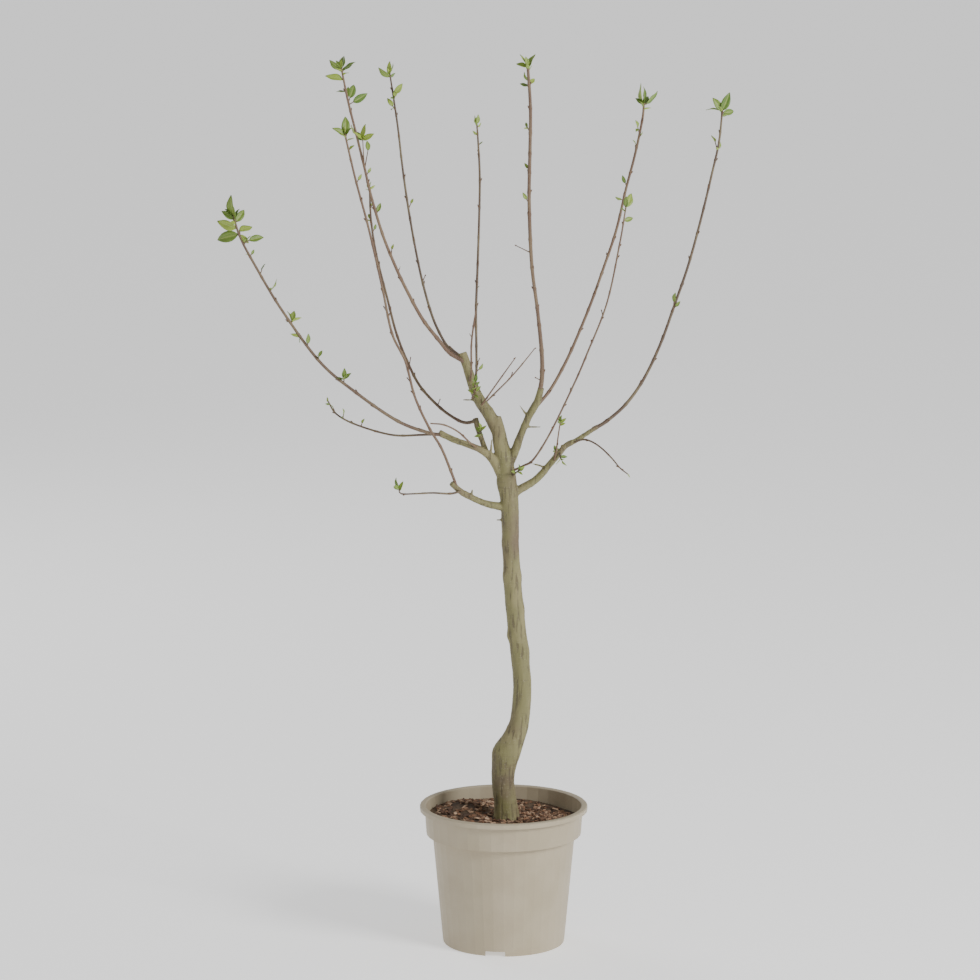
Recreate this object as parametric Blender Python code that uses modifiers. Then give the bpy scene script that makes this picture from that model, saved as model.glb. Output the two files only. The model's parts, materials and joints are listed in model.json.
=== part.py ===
"""A young greengage plum tree in a 22 cm nursery pot, bare but for its first small leaves.

Metres, Z up. The origin is the middle of the pot's flat underside, and -Y faces the viewer.
Limb routes are rows of (x, height, depth, radius) in millimetres. A row's x and height are read on
the upright plane through the pot's middle, as the viewpoint sees it, and depth is how far behind
that plane the limb really passes, so the outline from the front is the same at any depth.
"""

import math
import random

import bmesh
import bpy
from mathutils import Matrix, Vector
from mathutils.geometry import intersect_point_line

MM = 0.001
GAP = 0.3 * MM
WELD = 0.0001 * MM
SHARP_ANGLE = math.radians(40)
TREE_NAME = "potted greengage plum tree"
VIEWPOINT = Vector((0.0, -5.0, 1.444))

# Pot, all in millimetres
POT_HEIGHT = 184
POT_FLANGE = 110, 103.4
POT_SKIRT_DROP = 6.5
COLLAR_RADIUS_TOP = 104
COLLAR_RADIUS_FOOT = 101.5
COLLAR_FOOT = 146
BODY_RADIUS_TOP = 93.5
BODY_RADIUS_FOOT = 79.9
WALL = 2
EDGE_ROUND = 1.2
CHANNEL_HEIGHT = 8
CHANNEL_SLOPE = 3
CENTRE_PAD_RADIUS = 47.6
POT_SEGMENTS = 40
NOTCH_COUNT = 3
NOTCH_WIDTH = 26
NOTCH_HEIGHT = 6.5
NOTCH_DEPTH = 12
NOTCH_TURN = -98
DRAIN_COUNT = 8
DRAIN_RADIUS = 4.5
DRAIN_CIRCLE_RADIUS = 65

# Compost surface: level at the trunk, and rises and dips as (x, y, change, spread) in millimetres
SOIL_LEVEL = 167
SOIL_FLAT_RADIUS = 26
SOIL_BLEND = 16
SOIL_RINGS = 0, SOIL_FLAT_RADIUS, 44, 60, 76, 90, 98
SOIL_MOUNDS = (
    (-52, 34, 10, 34),
    (58, 42, -7, 40),
    (-20, -62, 2, 30),
    (50, -45, -3, 34),
)

# Boughs: rows of (x, height, depth, radius)
TRUNK_ROUTE = (
    (4, 167.3, -6, 17.2),
    (2, 190, -6, 14.8),
    (-1, 221, -5, 15.2),
    (4, 254, -3, 16.6),
    (13, 273, -2, 14.8),
    (21, 298, -1, 12.8),
    (24, 345, 0, 12.0),
    (19, 400, 2, 12.0),
    (13, 457, 2, 11.8),
    (9, 525, 0, 11.0),
    (7.5, 583, 0, 11.8),
    (3, 630, 0, 11.0),
    (-4, 662, 0, 10.0),
    (-8, 684, 1, 8.6),
    (-10, 698, 2, 6.2),
)
LEADER_ROUTE = (
    (-5, 672, 1, 8.5),
    (-18, 699, 3, 8.2),
    (-31, 718, 5, 7.4),
    (-40, 739, 7, 6.6),
    (-47, 761, 9, 6.0),
    (-54, 781, 11, 6.2),
)
LEFT_LOW_ROUTE = (
    (6, 579, 0, 6.4),
    (-9, 581, -4, 5.2),
    (-23, 584, -11, 4.4),
    (-40, 591, -20, 4.2),
    (-56, 600, -29, 4.1),
    (-68, 611, -36, 3.8),
)
LEFT_MID_ROUTE = (
    (4, 606, 0, 5.6),
    (-5, 626, -2, 7.0),
    (-14, 642, -4, 6.2),
    (-26, 652, -6, 4.8),
    (-43, 660, -9, 4.2),
    (-63, 667, -12, 4.2),
    (-84, 677, -14, 4.4),
)
LEFT_STUB_ROUTE = (
    (-22, 649, 0, 4.0),
    (-28, 666, 6, 3.7),
    (-33, 681, 10, 3.7),
    (-37, 696, 13, 3.9),
)
RIGHT_MID_ROUTE = (
    (6, 634, 0, 6.6),
    (15, 655, -3, 5.6),
    (24, 680, -8, 4.9),
    (34, 702, -12, 4.8),
    (43, 718, -15, 4.8),
    (48, 736, -18, 4.2),
)
RIGHT_LOW_ROUTE = (
    (6, 594, 0, 6.6),
    (21, 603, 2, 5.6),
    (43, 617, 6, 4.8),
    (62, 639, 10, 4.3),
    (80, 660, 14, 4.0),
    (92, 666, 16, 3.3),
    (107, 676, 18, 3.0),
    (121, 685, 20, 3.3),
)

# Swellings on the trunk: (x side, height, rise, reach) in millimetres
TRUNK_KNOTS = (
    (-1, 258, 4.2, 11),
    (1, 251, 2.0, 12),
    (1, 446, 2.0, 8),
    (-1, 409, 2.8, 7),
    (1, 392, 2.2, 11),
    (-1, 532, 1.4, 7),
    (1, 489, 1.6, 8),
    (-1, 487, 1.4, 8),
    (-1, 612, 4.2, 15),
)

# Year-old shoots and side twigs. A sprout is (height, lean in degrees, reach, leaves, leaf length),
# where lean is measured from straight up, to the right when positive, and a bare spur has no leaves.
# A tuft is (leaves, leaf length, how far down the tip they are spread, lean of the lowest from the stem).
SHOOTS = {
    "shoot_far_left": {
        "parent": "bough_left_mid",
        "route": (
            (-78, 674, -15, 2.3),
            (-98, 677, -18, 2.2),
            (-137, 692, -24, 2.1),
            (-188, 727, -32, 2.0),
            (-237, 769, -40, 1.9),
            (-286, 837, -48, 1.7),
            (-320, 895, -54, 1.6),
            (-338, 930, -58, 1.4),
            (-347, 960, -60, 1.2),
        ),
        "tuft": (5, 16, 12, 60),
        "sprouts": (
            (742, 8, 7, 4, 14),
            (772, 35, 3, 2, 10),
            (788, 5, 4, 1, 13),
            (799, -60, 3, 2, 12),
            (818, 10, 4, 4, 15),
            (861, 40, 4, 2, 14),
            (882, 20, 5, 1, 10),
            (905, 20, 3, 2, 8),
            (920, 30, 4, 2, 11),
            (922, 65, 8, 1, 21),
            (932, 140, 1, 1, 19),
            (935, -97, 1, 1, 33),
            (939, 67, 1, 1, 21),
            (942, -78, 1, 1, 27),
            (950, 38, 1, 1, 22),
            (952, -15, 1, 1, 31),
            (954, -58, 1, 1, 20),
        ),
    },
    "shoot_low_left": {
        "parent": "bough_left_mid",
        "route": (
            (-78, 676, -10, 1.6),
            (-107, 674, 0, 1.5),
            (-145, 674, 14, 1.4),
            (-190, 687, 34, 1.3),
            (-216, 701, 46, 1.2),
            (-227, 718, 52, 1.0),
        ),
        "tuft": (2, 8, 4, 50),
        "sprouts": (
            (685, 20, 4, 1, 8),
            (696, 10, 6, 2, 9),
            (706, -20, 3, 1, 8),
        ),
    },
    "shoot_left_front": {
        "parent": "bough_left_low",
        "route": (
            (-60, 603, -32, 1.9),
            (-68, 625, -42, 1.8),
            (-81, 657, -56, 1.7),
            (-97, 684, -68, 1.7),
            (-115, 724, -86, 1.6),
            (-127, 770, -104, 1.6),
            (-144, 806, -118, 1.6),
            (-156, 864, -138, 1.5),
            (-173, 940, -164, 1.5),
            (-190, 1005, -185, 1.4),
            (-203, 1062, -202, 1.2),
        ),
        "tuft": (3, 12, 8, 60),
        "sprouts": (
            (742, -35, 6, 0, 0),
            (832, -30, 6, 0, 0),
            (905, 25, 5, 0, 0),
            (1000, 35, 4, 1, 9),
            (1036, -25, 3, 0, 0),
            (1042, 40, 2, 1, 9),
            (1060, 11, 1, 1, 23),
            (1060, 35, 1, 1, 12),
            (1063, -50, 1, 1, 18),
        ),
    },
    "shoot_left_back": {
        "parent": "bough_left_stub",
        "route": (
            (-37, 692, 13, 2.3),
            (-50, 690, 20, 2.2),
            (-64, 696, 28, 2.1),
            (-84, 711, 42, 2.0),
            (-107, 736, 62, 1.9),
            (-122, 764, 80, 1.8),
            (-138, 805, 102, 1.7),
            (-150, 852, 124, 1.6),
            (-163, 905, 150, 1.5),
            (-170, 950, 170, 1.4),
            (-172, 995, 188, 1.2),
        ),
        "tuft": (5, 10, 7, 65),
        "sprouts": (
            (712, 20, 7, 0, 0),
            (764, 10, 8, 0, 0),
            (936, 25, 4, 1, 10),
            (950, -25, 4, 2, 9),
            (966, 25, 4, 1, 9),
        ),
    },
    "shoot_left_tall": {
        "parent": "leader",
        "route": (
            (-52, 770, 7, 3.0),
            (-70, 781, 3, 2.7),
            (-82, 795, -3, 2.5),
            (-105, 825, -15, 2.3),
            (-127, 866, -29, 2.1),
            (-142, 899, -38, 2.0),
            (-156, 935, -48, 1.9),
            (-170, 983, -60, 1.8),
            (-178, 1018, -68, 1.7),
            (-188, 1060, -76, 1.6),
            (-199, 1105, -85, 1.5),
            (-207, 1146, -92, 1.2),
        ),
        "tuft": (3, 12, 8, 60),
        "sprouts": (
            (884, 20, 4, 0, 0),
            (906, 5, 8, 1, 8),
            (958, 22, 3, 1, 13),
            (1010, 40, 3, 1, 8),
            (1018, 10, 24, 1, 16),
            (1020, -2, 38, 4, 18),
            (1060, -35, 1, 1, 15),
            (1102, 18, 6, 1, 22),
            (1099, 58, 6, 1, 22),
            (1105, 5, 4, 1, 13),
            (1115, -72, 1, 1, 12),
            (1131, -76, 1, 1, 23),
            (1143, -4, 1, 1, 23),
            (1141, 47, 1, 1, 22),
            (1147, -28, 1, 1, 13),
            (1146, -53, 1, 1, 20),
        ),
    },
    "shoot_mid_left": {
        "parent": "leader",
        "route": (
            (-53, 774, 15, 2.3),
            (-66, 784, 19, 2.1),
            (-76, 794, 24, 1.9),
            (-91, 825, 34, 1.8),
            (-104, 870, 46, 1.7),
            (-114, 918, 56, 1.6),
            (-123, 971, 67, 1.6),
            (-130, 1022, 78, 1.5),
            (-136, 1075, 88, 1.4),
            (-146, 1143, 100, 1.1),
        ),
        "tuft": (3, 10, 8, 50),
        "sprouts": (
            (872, 25, 6, 0, 0),
            (914, -20, 6, 0, 0),
            (966, 25, 7, 1, 8),
            (1092, -28, 7, 2, 14),
            (1106, 14, 4, 2, 12),
            (1110, 38, 4, 1, 18),
            (1136, -8, 1, 1, 18),
            (1133, -62, 1, 1, 19),
            (1139, 35, 1, 1, 12),
        ),
    },
    "shoot_centre": {
        "parent": "leader",
        "route": (
            (-42, 741, 9, 1.7),
            (-36, 752, 14, 1.6),
            (-35.5, 790, 22, 1.6),
            (-36, 834, 36, 1.7),
            (-34, 890, 52, 1.6),
            (-32, 950, 70, 1.5),
            (-31, 1005, 86, 1.5),
            (-33, 1050, 100, 1.3),
            (-35, 1078, 110, 1.0),
        ),
        "tuft": (2, 8, 4, 40),
        "sprouts": (
            (756, 50, 4, 1, 10),
            (765, 25, 9, 0, 0),
            (862, 20, 3, 1, 6),
            (1036, -20, 4, 0, 0),
            (1048, 40, 2, 1, 6),
            (1060, -55, 1, 1, 8),
            (1071, 60, 1, 1, 9),
            (1073, 6, 1, 1, 12),
            (1074, -24, 1, 1, 12),
        ),
    },
    "shoot_centre_short": {
        "parent": "leader",
        "route": (
            (-44, 744, 2, 1.5),
            (-42, 757, -4, 1.4),
            (-42, 790, -14, 1.3),
            (-39, 817, -24, 1.2),
            (-36, 836, -30, 0.9),
        ),
        "tuft": (0, 0, 0, 0),
        "sprouts": ((800, -30, 4, 0, 0),),
    },
    "shoot_mid_right": {
        "parent": "bough_right_mid",
        "route": (
            (46, 729, -17, 3.3),
            (49, 750, -22, 3.0),
            (48.5, 782, -34, 2.8),
            (43, 836, -54, 2.4),
            (36.5, 885, -72, 2.3),
            (33.5, 930, -88, 2.4),
            (32, 985, -106, 2.3),
            (33, 1040, -126, 2.2),
            (33.5, 1095, -145, 2.1),
            (30, 1149, -160, 1.8),
        ),
        "tuft": (3, 12, 8, 40),
        "sprouts": (
            (744, -60, 5, 0, 0),
            (911, -64, 18, 0, 0),
            (974, -32, 6, 1, 10),
            (1014, -30, 3, 1, 8),
            (1063, -25, 8, 2, 8),
            (1121, -66, 1, 1, 12),
            (1125, 32, 1, 1, 13),
            (1128, -35, 1, 1, 12),
            (1143, -14, 1, 1, 22),
            (1144, 12, 1, 1, 20),
            (1146, -62, 1, 1, 15),
        ),
    },
    "shoot_right_tall": {
        "parent": "bough_right_mid",
        "route": (
            (42, 711, -14, 2.3),
            (61, 735, 0, 2.1),
            (81, 772, 24, 2.0),
            (98, 811, 48, 1.9),
            (113, 849, 72, 1.9),
            (127, 889, 94, 1.8),
            (143.5, 939, 122, 1.8),
            (156, 993, 150, 1.7),
            (167, 1036, 172, 1.7),
            (176, 1080, 192, 1.6),
            (178, 1101, 200, 1.4),
        ),
        "tuft": (3, 12, 8, 60),
        "sprouts": (
            (862, 30, 4, 0, 0),
            (920, 25, 4, 0, 0),
            (978, -68, 2, 1, 10),
            (996, -28, 4, 1, 12),
            (1045, -15, 4, 1, 8),
            (1056, 35, 4, 1, 7),
            (1062, -14, 10, 2, 12),
            (1100, 48, 4, 1, 22),
            (1100, 30, 1, 1, 15),
            (1102, -20, 1, 1, 28),
            (1102, 14, 1, 1, 25),
            (1102, -46, 1, 1, 15),
        ),
    },
    "shoot_right_thin": {
        "parent": "trunk",
        "route": (
            (11, 627, -3, 1.6),
            (26, 634, -8, 1.5),
            (39, 643, -14, 1.4),
            (61, 679, -38, 1.3),
            (91, 742, -76, 1.3),
            (107, 780, -96, 1.3),
            (132, 845, -126, 1.2),
            (148, 921, -158, 1.2),
            (156, 970, -176, 1.0),
        ),
        "tuft": (2, 10, 6, 50),
        "sprouts": (
            (830, -15, 4, 0, 0),
            (900, 30, 4, 0, 0),
            (950, 68, 1, 1, 14),
            (968, 0, 1, 1, 14),
            (970, 22, 1, 1, 22),
        ),
    },
    "shoot_far_right": {
        "parent": "bough_right_low",
        "route": (
            (115, 682, 19, 2.8),
            (131, 691, 22, 2.4),
            (157, 714, 28, 2.2),
            (180, 747, 34, 2.1),
            (201, 792, 41, 2.0),
            (220, 846, 48, 1.9),
            (237, 897, 54, 1.8),
            (253, 958, 61, 1.7),
            (265, 1010, 67, 1.6),
            (274, 1052, 72, 1.5),
            (278, 1094, 75, 1.3),
        ),
        "tuft": (3, 12, 8, 60),
        "sprouts": (
            (774, 15, 5, 0, 0),
            (838, 5, 11, 1, 13),
            (838, 38, 5, 1, 10),
            (904, 15, 4, 0, 0),
            (990, 20, 4, 0, 0),
            (1038, 25, 4, 2, 10),
            (1041, -15, 11, 1, 13),
            (1090, 78, 1, 1, 18),
            (1093, 42, 1, 1, 16),
            (1094, 16, 1, 1, 25),
            (1096, -70, 1, 1, 21),
            (1096, -36, 1, 1, 20),
        ),
    },
    "twig_inner_short": {
        "parent": "leader",
        "route": (
            (-30, 711, -1, 1.2),
            (-12, 737, -17, 1.0),
            (0, 754, -28, 0.9),
            (15, 775, -40, 0.6),
        ),
        "tuft": (0, 0, 0, 0),
        "sprouts": (),
    },
    "twig_inner_long": {
        "parent": "leader",
        "route": (
            (-29, 711, 9, 1.2),
            (-9, 731, 24, 1.1),
            (5, 745, 36, 1.0),
            (20, 762, 48, 0.9),
            (40, 787, 64, 0.6),
        ),
        "tuft": (0, 0, 0, 0),
        "sprouts": ((750, 20, 4, 0, 0),),
    },
    "twig_left_upper": {
        "parent": "bough_left_mid",
        "route": (
            (-36, 658, -11, 1.5),
            (-45, 665, -20, 1.3),
            (-59, 678, -28, 1.2),
            (-77, 687, -36, 1.1),
            (-95, 689, -42, 0.9),
        ),
        "tuft": (0, 0, 0, 0),
        "sprouts": (),
    },
    "twig_left_lower": {
        "parent": "bough_left_low",
        "route": (
            (-56, 600, -33, 1.6),
            (-70, 597, -44, 1.4),
            (-92, 598, -56, 1.2),
            (-114, 597, -66, 1.1),
            (-133, 597, -74, 1.0),
            (-136, 604, -76, 0.9),
        ),
        "tuft": (3, 15, 2, 35),
        "sprouts": (),
    },
    "twig_right_drooping": {
        "parent": "bough_right_low",
        "route": (
            (90, 664, 14, 1.5),
            (102, 668, 4, 1.3),
            (114, 665, -6, 1.2),
            (127, 656, -16, 1.1),
            (140, 643, -26, 1.0),
            (150, 631, -34, 0.9),
            (160, 623, -40, 0.8),
        ),
        "tuft": (1, 7, 2, 30),
        "sprouts": ((631, -60, 3, 0, 0),),
    },
    "twig_right_upright": {
        "parent": "bough_right_low",
        "route": (
            (65, 641, 7, 1.3),
            (68, 655, -2, 1.1),
            (70, 672, -10, 1.0),
            (73, 692, -17, 0.8),
        ),
        "tuft": (3, 10, 5, 60),
        "sprouts": (
            (692, 40, 1, 1, 10),
            (693, -10, 1, 1, 11),
        ),
    },
    "sprout_on_leader": {
        "parent": "leader",
        "route": (
            (-41, 722, 3, 1.5),
            (-38, 730, -7, 1.4),
            (-37, 744, -13, 1.1),
        ),
        "tuft": (9, 11, 22, 85),
        "sprouts": (),
    },
    "sprout_on_stub": {
        "parent": "bough_left_stub",
        "route": (
            (-33, 674, 9, 1.3),
            (-30, 677, 0, 1.1),
            (-30, 682, -4, 0.9),
        ),
        "tuft": (7, 11, 9, 85),
        "sprouts": (),
    },
    "sprout_on_trunk": {
        "parent": "trunk",
        "route": (
            (8, 618, -4, 1.4),
            (15, 624, -13, 1.2),
            (20, 628, -16, 0.9),
        ),
        "tuft": (5, 11, 6, 70),
        "sprouts": (),
    },
    "sprout_on_right_bough": {
        "parent": "bough_right_low",
        "route": (
            (72, 650, 8, 1.3),
            (73, 645, -1, 1.1),
            (75, 641, -5, 0.9),
        ),
        "tuft": (4, 11, 5, 70),
        "sprouts": (),
    },
    "sprout_in_fork": {
        "parent": "bough_right_low",
        "route": (
            (61, 638, 12, 1.3),
            (65, 648, 20, 1.1),
            (67, 656, 24, 0.9),
        ),
        "tuft": (5, 8, 5, 70),
        "sprouts": (),
    },
}

# Bare spurs that stay on a bough, as (height, lean, reach)
BOUGH_SPURS = {
    "bough_right_mid": ((697, -35, 20), (685, 88, 22)),
    "leader": ((719, -87, 22),),
    "bough_left_low": ((592, 8, 11),),
    "bough_right_low": ((653, 5, 9), (631, -74, 20)),
    "bough_left_mid": ((644, 3, 25),),
    "trunk": ((562, -88, 18),),
}

SHOOT_SPACING = 21 * MM
BOUGH_SPACING = 11 * MM
SHOOT_SIDES = 6
TRUNK_SIDES = 14
BOUGH_SIDES = 10
LEAF_WIDTH_SHARE = 0.46
LEAF_THICKNESS_SHARE = 0.05
TWIG_RADIUS = 0.9 * MM
TWIG_TAPER = 0.6
SPUR_RADIUS = 1.1 * MM
SPUR_FORWARD_LEAN = -8
CUTTER_GROW = 1.1 * GAP
KNOT_FORWARD = -0.4
TRUNK_FOOT_RIM = 6 * MM
LINE_SAMPLES = 8
LEAF_CLEARANCE = 1.0 * MM
LEAF_TURN = math.radians(45)
SPROUT_SPREAD = 2
SPROUT_TILT = 70
GOLDEN_TURN = math.radians(137.5)


def clear_scene():
    for obj in list(bpy.data.objects):
        bpy.data.objects.remove(obj)


def new_collection(name):
    group = bpy.data.collections.new(name)
    bpy.context.scene.collection.children.link(group)
    return group


def material(name, colour, roughness):
    made = bpy.data.materials.new(name)
    made.use_nodes = True
    shader = made.node_tree.nodes["Principled BSDF"]
    shader.inputs["Base Color"].default_value = (*colour, 1.0)
    shader.inputs["Roughness"].default_value = roughness
    shader.inputs["Metallic"].default_value = 0.0
    return made


def finish(obj, look, root):
    """Give a finished piece its material, smooth shading and parent."""
    obj.data.materials.clear()
    obj.data.materials.append(look)
    obj.data.shade_smooth()
    obj.data.set_sharp_from_angle(angle=SHARP_ANGLE)
    obj.parent = root


def keep_outer_body(mesh):
    """Drop loose scraps and sealed hollows, so that one closed body is left."""
    bm = bmesh.new()
    bm.from_mesh(mesh)
    bmesh.ops.remove_doubles(bm, verts=bm.verts, dist=WELD)
    unseen = set(bm.faces)
    bodies = []
    while unseen:
        front = [unseen.pop()]
        body = []
        volume = 0.0
        while front:
            face = front.pop()
            body.append(face)
            first, *rest = (vertex.co for vertex in face.verts)
            volume += sum(first.dot(a.cross(b)) for a, b in zip(rest, rest[1:])) / 6
            near = {other for edge in face.edges for other in edge.link_faces} & unseen
            unseen -= near
            front.extend(near)
        bodies.append((volume, body))
    largest = max(bodies, key=lambda entry: entry[0])
    loose = [face for entry in bodies if entry is not largest for face in entry[1]]
    bmesh.ops.delete(bm, geom=loose, context="FACES")
    bm.to_mesh(mesh)
    bm.free()


def applied(obj):
    """A plain mesh object in place of a curve, or of an object with modifiers."""
    bpy.context.view_layer.update()
    graph = bpy.context.evaluated_depsgraph_get()
    mesh = bpy.data.meshes.new_from_object(obj.evaluated_get(graph))
    keep_outer_body(mesh)
    name = obj.name
    groups = obj.users_collection
    plain = bpy.data.objects.new(name, mesh)
    plain.matrix_world = obj.matrix_world
    for group in groups:
        group.objects.link(plain)
    bpy.data.objects.remove(obj)
    plain.name = name
    return plain


def boolean(obj, operation, operand):
    """Add a Boolean with an object or with a collection of objects."""
    change = obj.modifiers.new(operation.lower(), "BOOLEAN")
    change.operation = operation
    change.solver = "MANIFOLD"
    if isinstance(operand, bpy.types.Collection):
        change.operand_type = "COLLECTION"
        change.collection = operand
    else:
        change.object = operand


def as_cutter(obj):
    obj.hide_render = True
    obj.display_type = "WIRE"
    return obj


# Pot and compost

def outer_body_radius(height):
    share = height / COLLAR_FOOT
    return BODY_RADIUS_FOOT + (BODY_RADIUS_TOP - BODY_RADIUS_FOOT) * share


def collar_inside(height):
    """Radius of the collar's inner face at a height between its foot and the rim."""
    share = (height - COLLAR_FOOT) / (POT_HEIGHT - COLLAR_FOOT)
    return COLLAR_RADIUS_FOOT + (COLLAR_RADIUS_TOP - COLLAR_RADIUS_FOOT) * share - WALL


def turned(name, profile, group):
    """A solid turned about Z from (radius, height) rows, outer side from top to bottom."""
    mesh = bpy.data.meshes.new(name)
    bm = bmesh.new()
    corners = [bm.verts.new((radius * MM, 0, height * MM)) for radius, height in profile]
    for first, second in zip(corners, corners[1:]):
        bm.edges.new((first, second))
    bm.to_mesh(mesh)
    bm.free()
    obj = bpy.data.objects.new(name, mesh)
    group.objects.link(obj)
    screw = obj.modifiers.new("turn", "SCREW")
    screw.steps = POT_SEGMENTS
    screw.render_steps = POT_SEGMENTS
    screw.use_merge_vertices = True
    screw.merge_threshold = 0.00001
    screw.use_smooth_shade = False
    return applied(obj)


def pot_cutters(group):
    """Blocks for the notches in the foot ring, and pegs for the drain holes behind it."""
    cutters = []
    for index in range(NOTCH_COUNT):
        angle = math.radians(NOTCH_TURN + index * 360 / NOTCH_COUNT)
        bm = bmesh.new()
        bmesh.ops.create_cube(bm, size=1.0)
        bmesh.ops.scale(bm, verts=bm.verts, vec=(NOTCH_DEPTH * MM, NOTCH_WIDTH * MM, 2 * NOTCH_HEIGHT * MM))
        bmesh.ops.translate(bm, verts=bm.verts, vec=(BODY_RADIUS_FOOT * MM, 0, 0))
        bmesh.ops.rotate(bm, verts=bm.verts, matrix=Matrix.Rotation(angle, 3, "Z"))
        cutters.append(mesh_object("pot notch", bm, group))
    for index in range(DRAIN_COUNT):
        angle = math.radians(NOTCH_TURN + (index + 0.5) * 360 / DRAIN_COUNT)
        bm = bmesh.new()
        bmesh.ops.create_cone(
            bm, segments=8, radius1=DRAIN_RADIUS * MM, radius2=DRAIN_RADIUS * MM,
            depth=3 * WALL * MM, cap_ends=True,
        )
        place = Vector((DRAIN_CIRCLE_RADIUS * math.cos(angle), DRAIN_CIRCLE_RADIUS * math.sin(angle),
                        CHANNEL_HEIGHT + WALL / 2))
        bmesh.ops.translate(bm, verts=bm.verts, vec=place * MM)
        cutters.append(mesh_object("pot drain", bm, group))
    return cutters


def mesh_object(name, bm, group):
    mesh = bpy.data.meshes.new(name)
    bm.to_mesh(mesh)
    bm.free()
    obj = bpy.data.objects.new(name, mesh)
    group.objects.link(obj)
    return obj


def make_pot(parts, cutters):
    """A thin stepped shell with a turned-down rim, a notched foot ring and a flat pad under its middle."""
    flange, flange_inner = POT_FLANGE
    skirt_foot = POT_HEIGHT - POT_SKIRT_DROP
    floor = CHANNEL_HEIGHT + WALL
    profile = (
        (0, WALL),
        (CENTRE_PAD_RADIUS - EDGE_ROUND, WALL),
        (CENTRE_PAD_RADIUS + CHANNEL_SLOPE, floor),
        (outer_body_radius(floor) - WALL, floor),
        (BODY_RADIUS_TOP - WALL, COLLAR_FOOT + WALL),
        (collar_inside(COLLAR_FOOT + WALL), COLLAR_FOOT + WALL),
        (collar_inside(POT_HEIGHT), POT_HEIGHT - EDGE_ROUND),
        (flange_inner, POT_HEIGHT),
        (flange - EDGE_ROUND, POT_HEIGHT),
        (flange, POT_HEIGHT - EDGE_ROUND),
        (flange, skirt_foot),
        (flange - WALL, skirt_foot),
        (flange - WALL, POT_HEIGHT - WALL),
        (COLLAR_RADIUS_TOP, POT_HEIGHT - WALL),
        (COLLAR_RADIUS_FOOT, COLLAR_FOOT),
        (BODY_RADIUS_TOP, COLLAR_FOOT),
        (outer_body_radius(EDGE_ROUND), EDGE_ROUND),
        (BODY_RADIUS_FOOT - EDGE_ROUND / 2, 0),
        (BODY_RADIUS_FOOT - WALL, 0),
        (BODY_RADIUS_FOOT - WALL, CHANNEL_HEIGHT),
        (CENTRE_PAD_RADIUS + CHANNEL_SLOPE + WALL / 2, CHANNEL_HEIGHT),
        (CENTRE_PAD_RADIUS, 0),
        (0, 0),
    )
    pot = turned("pot", profile, parts)
    for cutter in pot_cutters(cutters):
        boolean(pot, "DIFFERENCE", as_cutter(cutter))
    return pot


def soil_height(x, y):
    """Height of the compost in millimetres: level round the trunk, mounded and dipping beyond it."""
    rise = sum(
        change * math.exp(-((x - at_x) ** 2 + (y - at_y) ** 2) / spread**2)
        for at_x, at_y, change, spread in SOIL_MOUNDS
    )
    away = min(1.0, max(0.0, (math.hypot(x, y) - SOIL_FLAT_RADIUS) / SOIL_BLEND))
    return SOIL_LEVEL + rise * away * away * (3 - 2 * away)


def make_compost(parts):
    """The filling of the pot, 0.3 mm clear of it, with an uneven top."""
    clear = GAP / MM
    floor = CHANNEL_HEIGHT + WALL + clear
    profile = [(radius, SOIL_LEVEL) for radius in SOIL_RINGS] + [
        (collar_inside(COLLAR_FOOT + WALL) - clear, COLLAR_FOOT + WALL + clear),
        (BODY_RADIUS_TOP - WALL - 2 * clear, COLLAR_FOOT + WALL + clear),
        (outer_body_radius(floor) - WALL - 2 * clear, floor),
        (CENTRE_PAD_RADIUS + CHANNEL_SLOPE, floor),
        (CENTRE_PAD_RADIUS - EDGE_ROUND - 2 * clear, WALL + clear),
        (0, WALL + clear),
    ]
    compost = turned("compost", profile, parts)
    for vertex in compost.data.vertices:
        if vertex.co.z < (SOIL_LEVEL - 1) * MM:
            continue
        x, y = vertex.co.x / MM, vertex.co.y / MM
        height = soil_height(x, y)
        out = math.hypot(x, y)
        if out > SOIL_RINGS[-1] - 1:
            wider = (collar_inside(height) - 2 * clear) / out
            x, y = x * wider, y * wider
        vertex.co = Vector((x, y, height)) * MM
    return compost


# Limbs

def seen(x, height, depth):
    """The place at this depth that the viewpoint sees at (x, height) on the plane through the pot."""
    on_plane = Vector((x, 0, height)) * MM
    return VIEWPOINT + (on_plane - VIEWPOINT) * (1 - depth * MM / VIEWPOINT.y)


def smooth_line(route, spacing):
    """Points (x, y, z, radius) in metres on a smooth curve through the route, about a spacing apart."""
    knots = [Vector((*seen(x, height, depth), radius * MM)) for x, height, depth, radius in route]
    ends = [2 * knots[0] - knots[1], *knots, 2 * knots[-1] - knots[-2]]
    line = []
    for before, start, stop, after in zip(ends, ends[1:], ends[2:], ends[3:]):
        steps = max(1, round((stop - start).length / spacing))
        for step in range(steps):
            t = step / steps
            line.append(
                start
                + 0.5 * t * (stop - before)
                + 0.5 * t * t * (2 * before - 5 * start + 4 * stop - after)
                + 0.5 * t**3 * (3 * start - before - 3 * stop + after)
            )
    line.append(knots[-1])
    return line


def tube(name, line, sides, group, grow=0.0):
    """A tapering round limb along a line, with its origin at its foot."""
    curve = bpy.data.curves.new(name, "CURVE")
    curve.dimensions = "3D"
    curve.bevel_depth = 1.0
    curve.bevel_resolution = sides // 2 - 2
    curve.use_fill_caps = True
    spline = curve.splines.new("POLY")
    spline.points.add(len(line) - 1)
    foot = line[0].xyz
    for point, place in zip(spline.points, line):
        point.co = (*(place.xyz - foot), 1.0)
        point.radius = place.w + grow
    obj = bpy.data.objects.new(name, curve)
    obj.location = foot
    group.objects.link(obj)
    return applied(obj)


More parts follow.
